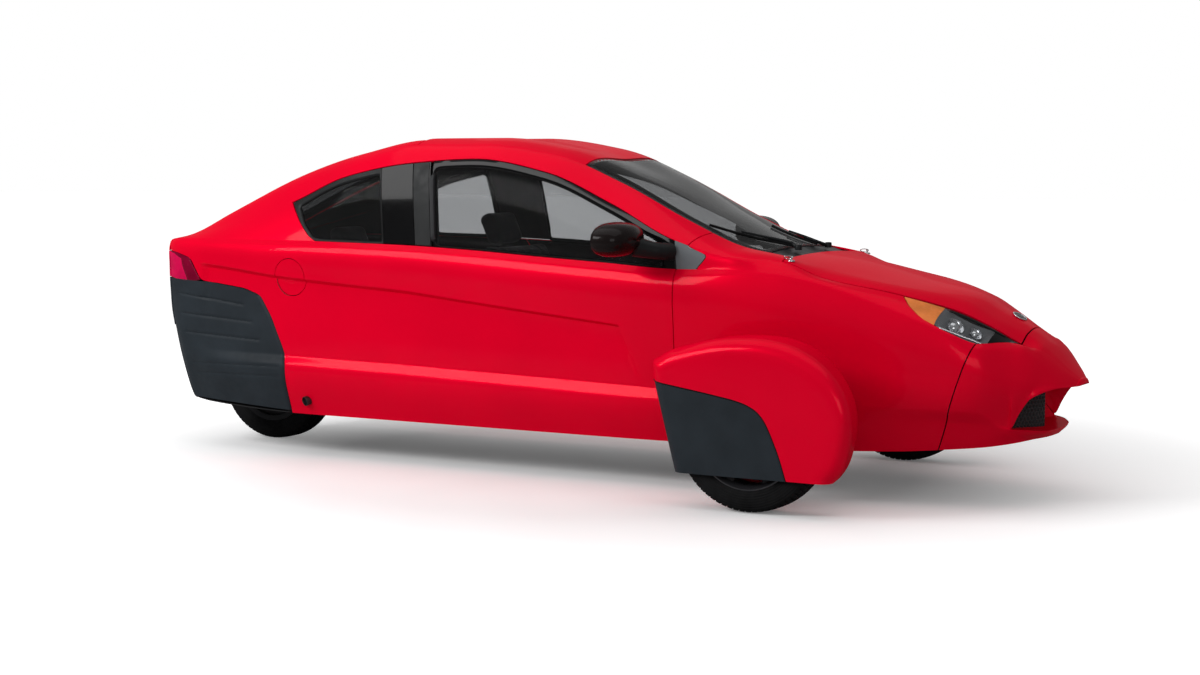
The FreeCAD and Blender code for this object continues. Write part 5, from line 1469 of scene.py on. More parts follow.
class CAR_OT_mirrors(CarOperator, bpy.types.Operator):
    """Builds the two door mirrors with their feet"""
    bl_idname = "car.mirrors"
    bl_label = "Mirrors"

    def execute(self, context):
        for side, name, body in ((RIGHT, "right", "body"), (LEFT, "left", "left_door")):
            self.housing(name, side, np.array([0.412, side * 0.624, 0.976]), body)
            self.foot(name, side, body)
        return {"FINISHED"}

    def housing(self, name, side, centre, body):
        """A rounded shell: a superellipse section that swells from the glass to the front and closes there
        in a blunt dome, a little lower at its outer end."""
        turn = np.linspace(0, 2 * np.pi, 65)
        # t is the place along the shell, from 0 at the glass to 1 at the front, and size its size there
        t = np.concatenate([np.linspace(0, 0.7, 10),
                            0.7 + 0.3 * np.sin(np.linspace(0.12, 1, 14) * np.pi / 2)])
        size = np.where(t < 0.12, 0.93 + 0.07 * t / 0.12,
                        np.sqrt(np.clip(1 - ((t - 0.12) / 0.88) ** 3.2, 0, 1)))
        size[-1] = 0.0
        c, s = np.cos(turn), np.sin(turn)
        y = np.sign(c) * np.abs(c) ** 0.72
        z = np.sign(s) * np.abs(s) ** 0.78
        outer_end = 1 - 0.16 * np.clip(y, 0, 1) ** 2
        grid = np.zeros((len(t), len(turn), 3))
        grid[..., 0] = centre[0] - 0.064 + 0.132 * t[:, None] - 0.006 * (y ** 2)[None] * t[:, None]
        grid[..., 1] = centre[1] + side * 0.134 * size[:, None] ** 0.7 * y[None]
        grid[..., 2] = (centre[2] + 0.066 * size[:, None] * (z * outer_end)[None]
                        - 0.004 * y[None] * size[:, None])
        middle = grid[0, :-1].mean(0)
        back = np.array([[[0.0, 0, 0]], [[0.001, 0, 0]], [[0.010, 0, 0]]])
        lip = between(grid[:1], middle, np.array([0, 0.03, 0.08])[:, None, None]) + back
        panel("mirror_shell_" + name, [grid, lip], "mirror brown", body, slot="black_gloss",
              centre=centre, sharp=35, replaces="mirror_" + name)
        glass = between(lip[-1:], middle + (0.009, 0, 0), even(5)[:, None, None])
        panel("mirror_glass_" + name, [glass], "mirror silver", body, slot="window_glass",
              centre=centre + (0.2, 0, 0), wall=0.002, sharp=50)

    def foot(self, name, side, body):
        """A pad on the sail, and an arm of oval section that leaves it and turns back into the housing."""
        path = np.array([(0.536, 0.462, 0.926), (0.527, 0.492, 0.928), (0.505, 0.522, 0.932),
                         (0.472, 0.548, 0.940),
                         (0.440, 0.575, 0.950)]) * np.array([1, side, 1])
        path = resampled(path, 24)
        radius = np.interp(np.linspace(0, 1, 24), [0, 0.15, 0.5, 1], [0.036, 0.033, 0.033, 0.04])
        arm = tube(path, radius, 24)
        pad_loop = outline_loop([(0.498, 0.899), (0.560, 0.889), (0.562, 0.934), (0.545, 0.953),
                                 (0.502, 0.967)],
                                4, 60)
        v = v_at(pad_loop[:, 0], pad_loop[:, 1], FRAME, BELT)
        base = on_body((pad_loop[:, 0], v), side, -0.001)
        middle = base[:-1].mean(0)
        out = np.array([0, side, 0])
        rows = ((1.0, -0.006), (1.0, 0.006), (0.96, 0.0085), (0.7, 0.0095), (0.0, 0.0095))
        pad = np.stack([middle + (base - middle) * share + out * raised for share, raised in rows])
        panel("mirror_foot_" + name, arm + [pad], "satin frame", body, slot="black_cladding",
              centre=middle - out * 0.01, sharp=40)
        screws = []
        for x, z in ((0.516, 0.951), (0.549, 0.903)):
            at = np.array([x, middle[1] + side * 0.0098, z])
            screws.append(turned([(0, 0.0005), (0.002, 0.0016), (0.0045, 0.0014), (0.0052, -0.001)], at,
                                 (0, side, 0), 20))
        panel("mirror_screws_" + name, screws, "bright steel", body, slot="engine_metal", sharp=40)


# side view of a wheel pod: forward of the axle and height, mm
POD_OUTLINE = [(-299, 132), (-390, 474), (-398, 528), (-388, 552), (-299, 590), (-110, 636), (74, 640),
               (195, 613), (314, 551), (393, 466), (423, 376), (420, 294), (388, 165), (345, 132)]
POD_CURVE = [(-388, 467), (-160, 433), (-23, 410), (38, 389), (75, 360), (99, 318), (142, 221), (170, 132)]
POD_ROUND, POD_CROWN, POD_TAPER = 0.056, 0.003, 0.05


class CAR_OT_pods(CarOperator, bpy.types.Operator):
    """Builds the two wheel pods, with their black lower panels"""
    bl_idname = "car.pods"
    bl_label = "Wheel Pods"

    def execute(self, context):
        axle_x = float(np.mean([c[0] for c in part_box("tyre_front_right")]))
        rim = self.smooth_outline()
        for name, side in SIDES:
            inner, outer = sorted(abs(corner[1]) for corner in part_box("pod_" + name))
            self.pod(name, side, axle_x, rim, inner, outer)
        return {"FINISHED"}

    def smooth_outline(self):
        """The outline's arch as a smooth line of even points, less smooth at its rear corner."""
        arch = resampled(np.array(POD_OUTLINE, float) * MM, 260)
        smooth = softened(softened(arch, 9), 6)
        tight = np.exp(-((arch[:, 0] + 0.392) / 0.02) ** 2
                       - ((arch[:, 1] - 0.54) / 0.03) ** 2)[:, None] * 0.75
        return smooth * (1 - tight) + arch * tight

    def depth_at(self, points, rim):
        """How far the outer face lies back at a point: a quarter circle from the outline to the flat."""
        a, b = rim[:-1], rim[1:]
        ab = b - a
        flat = points.reshape(-1, 1, 2)
        t = np.clip(((flat - a) * ab).sum(-1) / (ab ** 2).sum(-1), 0, 1)
        d = np.linalg.norm(flat - (a + t[..., None] * ab), axis=-1).min(1).reshape(points.shape[:-1])
        back = 1 - np.clip(d / POD_ROUND, 0, 1)
        crown = np.clip(np.linalg.norm(points - np.array([0.02, 0.36]), axis=-1) / 0.42, 0, 1) ** 2
        return POD_ROUND * (1 - np.sqrt(1 - back ** 2)) + POD_CROWN * crown

    def face(self, rim_part, inner_part):
        """Rows from part of the outline to a line inside it, close together over the rounding."""
        a, b = resampled(rim_part, 150), resampled(inner_part, 150)
        width = np.maximum(np.linalg.norm(b - a, axis=-1), 1e-6)
        turn = 1 - np.cos(np.linspace(0, np.pi / 2, 10))
        first = turn[:, None] * np.minimum(0.98, POD_ROUND / width)[None]
        rest = np.linspace(0, 1, 11)[1:, None]
        rows = np.concatenate([first, first[-1:] * (1 - rest) + rest])[..., None]
        return between(a[None], b[None], rows)

    def pod(self, name, side, axle_x, rim, inner, outer):
        """The face in two parts, above and below the curve, then the band over the wheel, a rolled inner
        edge and the inner wall with its opening for the axle."""
        def placed(points, y):
            """The pod's front draws back a little towards the body."""
            inwards = np.clip((outer - y) / (outer - inner), 0, 1)
            x = points[..., 0] + axle_x - POD_TAPER * inwards * eased((points[..., 0] - 0.1) / 0.32)
            return np.stack(np.broadcast_arrays(x, side * y, points[..., 1]), -1)

        curve = softened(resampled(np.array(POD_CURVE, float) * MM, 120), 6)
        start = int(np.argmin(np.linalg.norm(rim - curve[0], axis=1)))
        below = np.vstack([rim[start::-1], [curve[-1]]])
        normal = unit(np.stack([np.gradient(curve[:, 1]), -np.gradient(curve[:, 0])], -1))
        joint = normal * 0.0026
        upper = self.face(rim[start:], curve - joint)
        lower = self.face(below, curve + joint)
        face = placed(upper, outer - self.depth_at(upper, rim))
        y = np.linspace(inner + 0.012, outer - POD_ROUND - POD_CROWN, 8)
        over = placed(rim[None].repeat(8, 0), y[:, None])
        turn = np.linspace(0, np.pi / 2, 5)[:, None]
        toward = unit(np.array([0.0, 0.36]) - rim)
        small = rim[None] + toward[None] * (0.012 * (1 - np.cos(turn)))[..., None]
        roll = placed(small, inner + 0.012 * (1 - np.sin(turn)))
        gate_half, gate_top = 0.21, 0.482
        gate = resampled([(-gate_half, 0.132), (-gate_half, gate_top - 0.02), (-gate_half + 0.02, gate_top),
                          (gate_half - 0.02, gate_top), (gate_half, gate_top - 0.02), (gate_half, 0.132)],
                          len(rim))
        wall = placed(between(small[-1:], gate[None], even(7)[:, None, None]), np.array(inner))
        middle = (axle_x, side * (inner + outer) / 2, 0.36)
        how = dict(centre=middle, sharp=40, inner="panel lining")
        panel("pod_skin_" + name, [face, over, roll, wall], "red paint", name + "_pod",
              slot="body_paint", wall=0.006, bevel=0.0012, replaces="pod_" + name, **how)
        dark = placed(lower, outer - self.depth_at(lower, rim) - 0.0008)
        panel("pod_lower_" + name, [dark], "cladding grain", name + "_pod", slot="black_cladding",
              wall=0.006, bevel=0.0012, replaces="pod_panel_" + name, **how)
        bead_path = placed(curve, outer - self.depth_at(curve, rim) - 0.0045)
        panel("pod_bead_" + name, tube(bead_path, 0.0032, 8), "seal rubber", name + "_pod",
              slot="black_cladding", sharp=60)


class CAR_OT_wheels(CarOperator, bpy.types.Operator):
    """Builds the three tyres with cut treads, the rims and the brake discs"""
    bl_idname = "car.wheels"
    bl_label = "Wheels"

    def execute(self, context):
        details = context.scene.car_details
        for name, body, side in (("front_right", "front_right_wheel", RIGHT),
                                 ("front_left", "front_left_wheel", LEFT), ("rear", "rear_wheel", LEFT)):
            low, high = box("tyre_" + name)
            centre, radius, half = (low + high) / 2, (high[2] - low[2]) / 2, (high[1] - low[1]) / 2
            tyre = self.tyre(centre, radius, half, details)
            panel("tyre_" + name + "_treaded", [tyre], "tyre rubber", body, slot="tyre_rubber",
                  replaces="tyre_" + name, sharp=28)
            self.rim(name, body, centre, side, half)
        return {"FINISHED"}

    def tyre(self, centre, radius, half, details):
        """Radius over angle and place across the tyre: the section of the carcass, less the depth of three
        grooves round it and of slanting cuts across it, plus fine rings on its sides."""
        # section: radius and share of the half width
        section = np.array([(0.2045, 0.80), (0.212, 0.90), (0.228, 0.975), (0.246, 1.0), (0.263, 0.985),
                            (0.276, 0.93), (0.2845, 0.85), (0.2885, 0.76), (0.2905, 0.62), (0.2917, 0.36),
                            (0.292, 0.0)])
        section[:, 0] *= radius / 0.292
        right = np.column_stack([section[:, 0], section[:, 1] * half])
        line = resampled(np.vstack([right * [1, -1], right[-2::-1]]), 130)
        padded = np.vstack([line[:1].repeat(2, 0), line, line[-1:].repeat(2, 0)])
        line = sum(padded[i:i + 130] for i in range(5)) / 5
        pitches = details.tread_pitches
        angle = np.linspace(0, 2 * np.pi, pitches * 8 + 1)[None, :]
        r, a = line[:, 0][:, None], line[:, 1][:, None]
        share = np.abs(a) / half
        on_tread = eased((r - radius * 0.966) / (radius * 0.012))
        round_cut = sum(eased(1.4 - np.abs(a - place) / 0.0034) for place in (-0.026, 0.0, 0.026))
        turn = angle / (2 * np.pi) * pitches
        slant = turn + 14 * np.abs(a) + np.where(a > 0, 0.5, 0.0)
        distance = np.abs(slant - np.round(slant)) * (2 * np.pi * radius / pitches)
        across = eased(1.5 - distance / 0.0021) * np.where(share > 0.42, 1.0, 0.55)
        depth = details.tread_depth * on_tread * np.clip(np.maximum(round_cut, across), 0, 1)
        rings = 0.0007 * np.cos((r - 0.2) / 0.0095 * 2 * np.pi) * (1 - on_tread) * eased((r - 0.214) / 0.006)
        block = 0.0010 * (np.sin(turn * np.pi) ** 8) * eased(1 - np.abs(r - radius * 0.945) / 0.008)
        out = r - depth
        side_way = np.sign(a) * (rings + block) * (share > 0.6)
        grid = np.zeros(depth.shape + (3,))
        grid[..., 0] = centre[0] + out * np.sin(angle)
        grid[..., 1] = centre[1] + np.clip(a + side_way, -half, half) * np.ones_like(angle)
        grid[..., 2] = centre[2] + out * np.cos(angle)
        return grid

    def rim(self, name, body, centre, side, half):
        """A barrel with a rolled lip, ten spokes of tapered oval section, a hub with four nuts, a plain cap,
        and a brake disc behind them."""
        axis = np.array([0, side, 0])
        width = half - 0.008
        barrel = turned([(0.186, -width + 0.004), (0.2, -width), (0.209, -width - 0.001),
                         (0.209, -width + 0.006),
                         (0.203, -width + 0.014), (0.1985, -width + 0.03), (0.1975, width - 0.03),
                         (0.203, width - 0.014), (0.2085, width - 0.006), (0.209, width + 0.001),
                         (0.2035, width + 0.002), (0.198, width - 0.003), (0.192, width - 0.012),
                         (0.1885, width - 0.03), (0.188, -width + 0.02), (0.186, -width + 0.004)], centre,
                         axis, 96)
        t = np.linspace(0, 1, 14)
        reach = 0.038 + (0.1905 - 0.038) * t
        wide = 0.0135 + 0.004 * np.cos(t * np.pi * 2) + 0.006 * t ** 3
        front = 0.038 + 0.010 * t ** 2 - 0.004 * np.sin(t * np.pi)
        around = np.linspace(0, 2 * np.pi, 17)
        c, s = np.cos(around), np.sin(around)
        spokes = []
        for angle in (np.arange(5)[:, None] * 2 * np.pi / 5 + np.array([-0.2, 0.2])).ravel():
            ray = np.array([math.sin(angle), 0, math.cos(angle)])
            cross = np.array([math.cos(angle), 0, -math.sin(angle)])
            p = (centre + reach[:, None, None] * ray
                 + (wide[:, None] * np.sign(c) * np.abs(c) ** 0.7)[..., None] * cross
                 + ((front - 0.009)[:, None] + 0.009 * np.sign(s) * np.abs(s) ** 0.7)[..., None] * axis)
            spokes.append(facing(p, centre + ray * 0.11 + axis * (front.mean() - 0.009)))
        hub = turned([(0, 0.043), (0.026, 0.0425), (0.03, 0.040), (0.031, 0.036), (0.052, 0.035),
                      (0.056, 0.031),
                      (0.056, 0.012)], centre, axis, 48)
        obj = mesh_object("rim_" + name + "_spoked", [facing(barrel, centre)] + spokes
                          + [facing(hub, centre)])
        finish(obj, "rim paint", body, replaces="rim_" + name, slot="rim_black", sharp=35)
        lip = turned([(0.2092, width - 0.004), (0.2098, width + 0.0008), (0.2066, width + 0.0024),
                      (0.2035, width + 0.0015)], centre, axis, 96)
        panel("rim_lip_" + name, [lip], "rim lip", body, slot="rim_black", centre=centre,
              sharp=50)
        nuts = []
        for k in range(4):
            angle = k * np.pi / 2 + 0.4
            at = centre + 0.042 * np.array([math.sin(angle), 0, math.cos(angle)]) + axis * 0.035
            nuts.append(turned([(0, 0.011), (0.006, 0.0105), (0.0085, 0.008), (0.0095, 0.0)], at, axis, 6))
        panel("wheel_nuts_" + name, nuts, "bright steel", body, slot="engine_metal",
              centre=centre, sharp=25)
        disc = turned([(0.05, -0.002), (0.112, -0.002), (0.113, -0.004), (0.113, -0.011), (0.112, -0.013),
                       (0.05, -0.013), (0.05, -0.002)], centre, axis, 72)
        panel("brake_disc_" + name, [disc], "cast metal", body, slot="engine_metal",
              centre=centre - axis * 0.0075 + (0, 0, 0.08), sharp=40)
        if name == "rear":
            # two dark discs close the rear rim behind its spokes: painted shade for the inside of the tail
            # seen through the wheel
            shade_discs = [turned([(0.05, way * 0.036), (0.186, way * 0.045)], centre, axis, 64)
                     for way in (-1, 0.5)]
            panel("rear_wheel_shade_discs", shade_discs, "under plastic", body, slot="rim_black", wall=0.0015,
                  centre=centre, sharp=40)


class CAR_OT_chassis(CarOperator, bpy.types.Operator):
    """Finishes the floor, the suspension, the engine and the wheel well, and adds the exhaust end"""
    bl_idname = "car.chassis"
    bl_label = "Chassis"

    CARRIED = (("floor_pan", "under plastic"), ("rear_wheel_well", "under plastic"),
               ("rear_swingarm", "chassis paint"), ("suspension_arms", "chassis paint"),
               ("engine_block", "cast metal"), ("knuckle_right", "chassis paint"),
               ("knuckle_left", "chassis paint"), ("steering_column", "cabin grain"))

    def execute(self, context):
        for node, look in self.CARRIED:
            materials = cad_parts[node].data.materials
            materials.clear()
            materials.append(finish_named(look))
        self.exhaust()
        self.trays()
        self.shields()
        return {"FINISHED"}

    def shields(self):
        """A dished plate behind each front brake, which turns with the pod."""
        for name, side in SIDES:
            centre = sum(box("tyre_front_" + name)) / 2
            dish = turned([(0.036, -0.046), (0.10, -0.046), (0.165, -0.04), (0.183, -0.034), (0.183, -0.032)],
                          centre, (0, side, 0), 64)
            panel("brake_shield_" + name, [dish], "under plastic", name + "_pod",
                  slot="under_plastic", wall=0.0015, centre=centre, sharp=40)

    def exhaust(self):
        """A short oval pipe end that shows in the sill's lower edge."""
        at = spot(-1.235, 7.7, RIGHT) + (0, -0.003, 0)
        way = unit(np.array([-0.35, -1.0, -0.25]))
        ring = turned([(0.016, -0.03), (0.0165, 0.010), (0.018, 0.0135), (0.0205, 0.0125), (0.021, 0.008),
                       (0.021, -0.03)], at, way, 40)
        panel("exhaust_end", [ring], "rim lip", "body", slot="engine_metal",
              centre=at, sharp=40)
        # a black disc closes the pipe a little way in: painted shade for the depth of the bore
        dark = turned([(0, 0.006), (0.0165, 0.006)], at, way, 40)
        panel("exhaust_shade_disc", [dark], "seal rubber", "body", slot="chassis_steel",
              centre=at - way * 0.2)

    def trays(self):
        """Flat trays under the tail, each side of the wheel, from the sill in to the well."""
        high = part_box("rear_wheel_well")[1]
        edge = skin(np.linspace(-1.925, -1.35, 24), SILL)
        grids = []
        for side in (LEFT, RIGHT):
            y = between(side * (edge[:, 1] - 0.003), side * high[1], even(4)[:, None])
            grids.append(np.stack(np.broadcast_arrays(edge[:, 0], y, edge[:, 2]), -1))
        panel("tail_trays", grids, "under plastic", "body", slot="under_plastic", wall=0.003,
              centre=(-1.6, 0, 0.8), sharp=40)


class CAR_OT_cabin(CarOperator, bpy.types.Operator):
    """Builds the dashboard, the steering wheel and the trim of the roof pillars"""
    bl_idname = "car.cabin"
    bl_label = "Cabin"

    def execute(self, context):
        self.dashboard()
        self.steering_wheel()
        self.lining()
        return {"FINISHED"}

    def dashboard(self):
        """A soft edged profile carried from side to side, which bows back at its middle, with a hood over
        the dials."""
        half = box("dashboard")[1][1] - 0.012
        loop = outline_loop([(0.600, 0.655), (0.596, 0.76), (0.604, 0.832), (0.65, 0.862), (0.74, 0.868),
                             (0.872, 0.866), (0.872, 0.66), (0.74, 0.645)], 5, 90)
        y = np.linspace(-half, half, 41)
        narrow = 1 - 0.06 * np.abs(y / half) ** 6
        centre = np.array([0.75, 0.76])
        x, z = split(centre + (loop - centre) * narrow[:, None, None])
        hood = 0.030 * np.exp(-(y / 0.17) ** 4)[:, None] * eased((z - 0.80) / 0.05) * eased((0.76 - x) / 0.1)
        grid = np.stack(np.broadcast_arrays(x, y[:, None], z + hood), -1)
        panel("dash_pad", capped(grid), "cabin grain", "body", slot="cabin_trim",
              centre=(0.75, 0, 0.76), replaces="dashboard", sharp=50)
        dials, rims = [], []
        for place in (-0.075, 0.075):
            at = np.array([0.597, place, 0.80])
            dials.append(turned([(0, 0.004), (0.05, 0.004)], at, (-1, 0, 0.35), 40))
            rims.append(turned([(0.05, 0.002), (0.052, 0.007), (0.055, 0.006), (0.056, -0.004)], at,
                               (-1, 0, 0.35), 40))
        panel("dial_faces", dials, "gloss frame", "body", slot="black_gloss", centre=(0.9, 0, 0.8))
        panel("dial_rims", rims, "bright steel", "body", slot="engine_metal",
              centre=(0.62, 0, 0.8), sharp=40)
        vents = []
        for place in (-0.3, 0.3):
            for k in range(5):
                vents += rounded_box((0.588, place - 0.055, 0.735 + 0.014 * k),
                                     (0.602, place + 0.055, 0.741 + 0.014 * k), 0.002, 3)
        panel("dash_vents", vents, "gloss frame", "body", slot="black_gloss",
              centre=(0.7, 0, 0.76), sharp=40)

    def steering_wheel(self):
        """A leather ring, three flat spokes and a padded middle, in the plane across the column."""
        centre = np.array([0.350, 0.0, 0.842])
        tilt = math.radians(24)
        axis = np.array([-math.cos(tilt), 0, math.sin(tilt)])
        up = np.array([math.sin(tilt), 0, math.cos(tilt)])
        across = np.array([0, 1.0, 0])
        radius = 0.172
        angle = np.linspace(0, 2 * np.pi, 121)[:-1]
        path = centre + radius * (np.cos(angle)[:, None] * up + np.sin(angle)[:, None] * across)
        section = np.linspace(0, 2 * np.pi, 21)
        thick = 0.0145 + 0.0012 * np.cos(4 * angle)
        out = unit(path - centre)
        ring = (path[:, None] + thick[:, None, None] * (np.cos(section)[None, :, None] * out[:, None]
                                                        + np.sin(section)[None, :, None] * axis))
        ring = np.concatenate([ring, ring[:1]])
        spokes = []
        for turn in (math.radians(100), math.radians(-100), math.radians(180)):
            ray = math.cos(turn) * up + math.sin(turn) * across
            side = np.cross(ray, axis)
            t = even(11)
            wide = 0.02 - 0.006 * t
            c, s = np.cos(section), np.sin(section)
            spokes.append(centre + (0.03 + 0.132 * t)[:, None, None] * ray
                          + (wide[:, None] * c)[..., None] * side + (0.005 * s)[None, :, None] * axis)
        pad = turned([(0, 0.022), (0.03, 0.020), (0.048, 0.013), (0.054, 0.002), (0.05, -0.012),
                      (0.024, -0.016)],
                     centre, axis, 48)
        bars = [facing(g, g[:-1, :-1].mean(1, keepdims=True)) for g in [ring] + spokes]
        obj = mesh_object("wheel_ring", bars + [facing(pad, centre)])
        finish(obj, "wheel leather", "steering_wheel", replaces="steering_wheel",
               slot="wheel_trim", sharp=50)

    def lining(self):
        """A headlining under the roof and two pillars in the middle of the sides."""
        panel("headlining", both(patch(-0.70, 0.10, TOP, 1.9, 20, 30), 0.022), "cabin carpet", "body",
              slot="cabin_trim",
              wall=0.003, centre=(-0.3, 0, 2.5), sharp=60)
        for name, side in SIDES:
            post = fan(leaning(-0.84), leaning(-0.60), [(2.05, 2.98, even(10))], even(6))
            panel("pillar_trim_" + name, [on_body(post, side, 0.026)], "cabin grain", "body",
                  slot="cabin_trim", wall=0.004, centre=(-0.7, side * 2, 1.1), sharp=50)


class CAR_OT_seats(CarOperator, bpy.types.Operator):
    """Builds the two padded seats, one behind the other"""
    bl_idname = "car.seats"
    bl_label = "Seats"

    def execute(self, context):
        swell = context.scene.car_details.seat_swell
        for name in ("front_seat", "rear_seat"):
            self.seat(name, *box(name), swell)
        return {"FINISHED"}

    def seat(self, name, low, high, swell):
        """Cushion, back and headrest are stuffed covers; a shell of plastic carries the back."""
        cushion_low, thick, back_thick, lean = 0.335, 0.13, 0.11, 24.0
        depth, half = 0.50, (high[1] - low[1]) / 2
        place = {"front_seat": -0.290, "rear_seat": -1.130}[name]
        back = {"front_seat": 0.620, "rear_seat": 0.540}[name]
        inset = 0.012
        cloth = "seat weave"
        cushion = rounded_box((place + 0.12, -half + inset, cushion_low + inset),
                              (place + depth - inset, half - inset, cushion_low + thick - inset), 0.045, 9,
                              2.4)
        self.stuffed(name + "_cushion", cushion, swell, cloth, name,
                     [(1, half - 0.11), (1, -half + 0.11), (0, place + 0.30)], np.array([0, 0, 1.0]))
        hinge = np.array([place, 0.0, cushion_low])
        raised = rounded_box((place + 0.012, -half + inset, cushion_low + 0.09),
                             (place + back_thick - 0.008, half - inset, cushion_low + back - 0.01), 0.04, 9,
                             2.4)
        turned_back = turned_about(raised, hinge, (0, 1, 0), -lean)
        self.stuffed(name + "_back", turned_back, swell, cloth, None,
                     [(1, half - 0.11), (1, -half + 0.11)], np.array([1.0, 0, 0.4]))
        rest = rounded_box((place + 0.012, -0.108, cushion_low + back + 0.008),
                           (place + 0.08, 0.108, cushion_low + back + 0.142), 0.03, 8, 2.2)
        self.stuffed(name + "_headrest", turned_about(rest, hinge, (0, 1, 0), -lean), swell * 0.6, cloth,
                     None,
                     [], np.array([1.0, 0, 0]))
        shell = rounded_box((place - 0.004, -half + 0.03, cushion_low + 0.02),
                            (place + 0.014, half - 0.03, cushion_low + back - 0.03), 0.008, 5)
        riser = rounded_box((place + 0.06, -0.15, low[2]), (place + depth - 0.06, 0.15, cushion_low + 0.012),
                            0.01, 4)
        panel(name + "_shell", turned_about(shell, hinge, (0, 1, 0), -lean), "cabin grain",
              "body", slot="cabin_trim", centre=(place, 0, 0.62), sharp=40)
        panel(name + "_base", riser, "cabin grain", "body", slot="cabin_trim",
              centre=(place + depth / 2, 0, 0.28), sharp=40)

    def stuffed(self, name, grids, swell, cloth, node, channels, face):
        """A closed cover is cut into even cells, blown up by the cloth solver with no gravity, and its
        movement is capped. Sewn channels are then pressed in: a point near one sinks by a bell curve."""
        obj = mesh_object(name + "_cover", grids)
        middle = np.concatenate([g.reshape(-1, 3) for g in grids]).mean(0)
        with bpy.context.temp_override(object=obj, active_object=obj, selected_objects=[obj]):
            cells = obj.modifiers.new("cells", "REMESH")
            cells.mode, cells.voxel_size = "VOXEL", 0.0065
            bpy.ops.object.modifier_apply(modifier="cells")
            rest = self.points(obj)
            air = obj.modifiers.new("air", "CLOTH")
            air.settings.use_pressure, air.settings.uniform_pressure_force = True, 4.0
            air.settings.effector_weights.gravity = 0.0
            air.settings.quality = 4
            air.point_cache.frame_start, air.point_cache.frame_end = 1, 20
            for frame_number in range(1, 21):
                bpy.context.scene.frame_set(frame_number)
            bpy.ops.object.modifier_apply(modifier="air")
            bpy.context.scene.frame_set(1)
        moved = self.points(obj) - rest
        far = np.linalg.norm(moved, axis=1, keepdims=True)
        p = rest + moved * np.minimum(1.0, swell / np.maximum(far, 1e-9))
        outer = (p - middle) @ unit(face) > 0
        for axis, at in channels:
            press = 0.009 * np.exp(-((p[:, axis] - at) / 0.0075) ** 2) * outer
            p = p - press[:, None] * unit(face)
        obj.data.vertices.foreach_set("co", p.astype(np.float32).ravel())
        obj.data.update()
        finish(obj, cloth, "body", replaces=node or (), slot="seat_fabric", levels=1)

    def points(self, obj):
        """The vertices of an object as rows of x, y and z."""
        p = np.zeros(len(obj.data.vertices) * 3, np.float32)
        obj.data.vertices.foreach_get("co", p)
        return p.reshape(-1, 3).astype(float)


def seen_directly(tree):
    """1 for what the camera sees straight or through glass, and 0 for light that falls on other surfaces."""
    path = tree.nodes.new("ShaderNodeLightPath")
    either = tree.nodes.new("ShaderNodeMath")
    either.operation = "MAXIMUM"
    tree.links.new(path.outputs["Is Camera Ray"], either.inputs[0])
    tree.links.new(path.outputs["Is Transmission Ray"], either.inputs[1])
    return either.outputs[0]


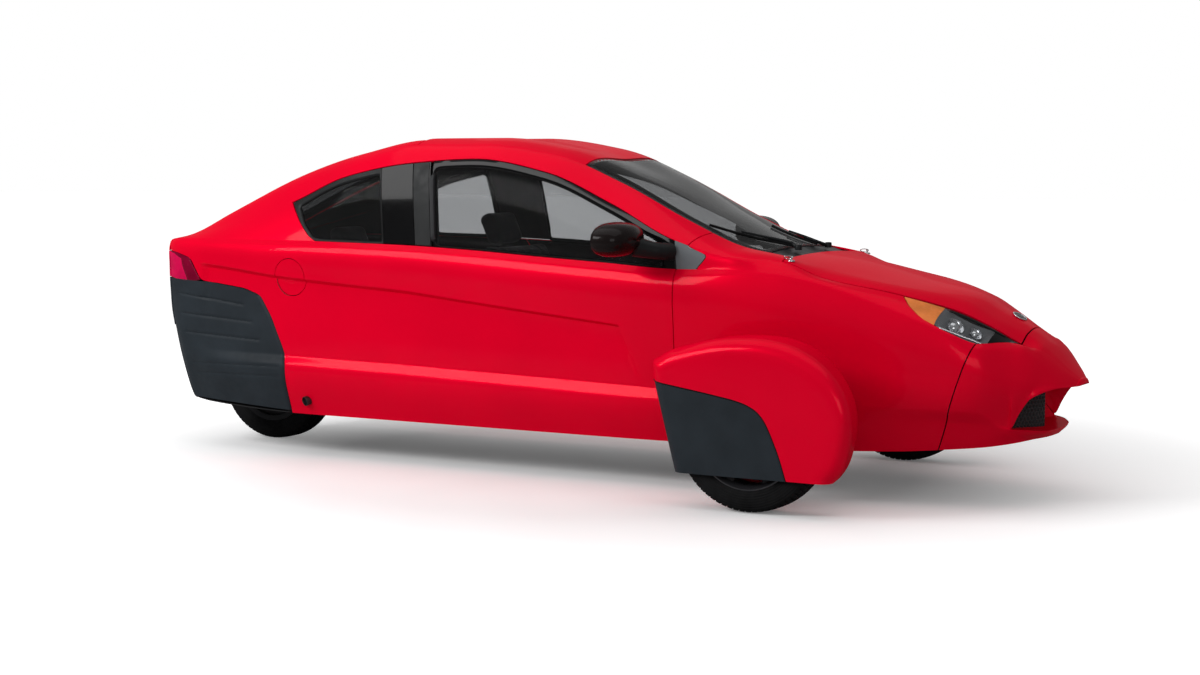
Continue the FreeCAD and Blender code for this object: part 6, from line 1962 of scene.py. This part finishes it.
class CAR_OT_stage(CarOperator, bpy.types.Operator):
    """Sets the floor, the soft lights and the camera"""
    bl_idname = "car.stage"
    bl_label = "Floor, Lights and Camera"

    def execute(self, context):
        look, scene = context.scene.car_stage, context.scene
        self.floor(look)
        self.lights(look)
        self.world(look)
        self.camera(scene)
        scene.view_settings.view_transform = "Standard"
        return {"FINISHED"}

    def floor(self, look):
        """A flat floor with a faint mottle. The light falls off with distance, so for the camera the floor
        glows a little more with its distance from the car and meets the white room. It throws half as much
        light back."""
        corners = np.array([(-1, -1, 0), (1, -1, 0), (1, 1, 0), (-1, 1, 0)]) * 60.0
        floor = object_from("floor", corners, np.array([(0, 1, 2, 3)]))
        m = Shader("floor_matt", look.floor, 0.7, Specular_IOR_Level=0.2)
        mottle = m.mottle(0.7, 3.0, look.floor, 0.99)
        m.rough(m.noise(3.0), 0.6, 0.75)
        length = m.node("ShaderNodeVectorMath")
        length.operation = "LENGTH"
        m.link(m.node("ShaderNodeTexCoord").outputs["Object"], length.inputs[0])
        glow = m.ramp(length.outputs["Value"], 1.3, 3.6, look.glow_near, 0.8)
        seen = seen_directly(m.tree)
        m.tint(seen, darker(look.floor, 0.5), mottle)
        m.set("Emission Color", (1.0, 1.0, 1.0, 1.0))
        m.link(m.step(glow, "MULTIPLY", seen), m.shader.inputs["Emission Strength"])
        floor.data.materials.append(m.material)

    def lights(self, look):
        """A long soft panel overhead, a strong one high up beside the tail, and dim ones beside the nose
        and on the far side."""
        rows = (("overhead", (0.0, -0.6, 4.2), (0.0, -0.3, 0.0), (7.0, 3.2), look.top_light * 42),
                ("tail_side", (-3.2, -4.6, 3.4), (-0.4, -0.4, 0.7), (3.4, 2.0), look.top_light * 140),
                ("nose_side", (4.4, -5.0, 1.9), (1.7, -0.4, 0.5), (3.0, 1.8), look.top_light * 30),
                ("far_side", (-1.0, 6.0, 3.4), (0.0, 0.0, 0.5), (7.0, 2.0), look.top_light * 12))
        for name, place, aim, size, power in rows:
            turn = (Vector(aim) - Vector(place)).to_track_quat("-Z", "Y").to_euler()
            data = bpy.data.lights.new(name, "AREA")
            data.shape, data.size, data.size_y, data.energy = "RECTANGLE", size[0], size[1], power
            lamp = bpy.data.objects.new(name, data)
            lamp.location, lamp.rotation_euler = place, turn
            bpy.context.scene.collection.objects.link(lamp)

    def world(self, look):
        """An even grey room for light, and plain white for the camera and through glass."""
        world = bpy.data.worlds.new("studio")
        world.use_nodes = True
        tree = world.node_tree
        even_light, white = tree.nodes["Background"], tree.nodes.new("ShaderNodeBackground")
        even_light.inputs["Color"].default_value = (1.0, 1.0, 1.0, 1.0)
        even_light.inputs["Strength"].default_value = look.room_light
        white.inputs["Color"].default_value = (1.0, 1.0, 1.0, 1.0)
        white.inputs["Strength"].default_value = 1.0
        mix = tree.nodes.new("ShaderNodeMixShader")
        tree.links.new(seen_directly(tree), mix.inputs["Fac"])
        tree.links.new(even_light.outputs["Background"], mix.inputs[1])
        tree.links.new(white.outputs["Background"], mix.inputs[2])
        tree.links.new(mix.outputs["Shader"], tree.nodes["World Output"].inputs["Surface"])
        bpy.context.scene.world = world

    def camera(self, scene):
        """A long lens ahead of the right side and a little above the bonnet, turned by yaw and tipped down
        by pitch."""
        yaw, pitch = math.radians(29.868), math.radians(4.856)
        data = bpy.data.cameras.new("view")
        data.lens, data.sensor_width, data.clip_end = 61.82, 36.0, 100.0
        eye = bpy.data.objects.new("view", data)
        eye.location = (4.2716, -7.5087, 1.2706)
        eye.rotation_euler = (math.pi / 2 - pitch, 0.0, yaw)
        scene.collection.objects.link(eye)
        scene.camera = eye


class CAR_PT_sidebar(bpy.types.Panel):
    """Lists the finishes, the details and the building steps in the order in which main runs them"""
    bl_idname = "CAR_PT_sidebar"
    bl_label = "Three Wheeled Car"
    bl_space_type = "VIEW_3D"
    bl_region_type = "UI"
    bl_category = "Car"

    def draw(self, context):
        scene = context.scene
        for title, group in (("Finishes", scene.car_finishes), ("Details", scene.car_details),
                             ("Stage", scene.car_stage)):
            box = self.layout.box()
            box.label(text=title)
            for name in group.__annotations__:
                box.prop(group, name)
        for step in STEPS:
            self.layout.operator(step.bl_idname, text=step.bl_label)


SETTINGS = (("car_finishes", CarFinishes), ("car_details", CarDetails), ("car_stage", CarStage))
STEPS = (CAR_OT_stage, CAR_OT_roof, CAR_OT_sides, CAR_OT_nose, CAR_OT_windows, CAR_OT_door, CAR_OT_lamps,
         CAR_OT_tail, CAR_OT_grille, CAR_OT_mirrors, CAR_OT_pods, CAR_OT_wheels, CAR_OT_chassis, CAR_OT_cabin,
         CAR_OT_seats)


def register():
    for name, group in SETTINGS:
        bpy.utils.register_class(group)
        setattr(bpy.types.Scene, name, bpy.props.PointerProperty(type=group))
    for step in STEPS:
        bpy.utils.register_class(step)
    bpy.utils.register_class(CAR_PT_sidebar)


def unregister():
    bpy.utils.unregister_class(CAR_PT_sidebar)
    for step in reversed(STEPS):
        bpy.utils.unregister_class(step)
    for name, group in reversed(SETTINGS):
        delattr(bpy.types.Scene, name)
        bpy.utils.unregister_class(group)


def main():
    register()
    for step in STEPS:
        group, name = step.bl_idname.split(".")
        getattr(getattr(bpy.ops, group), name)()
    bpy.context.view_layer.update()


if __name__ == "__main__":
    main()
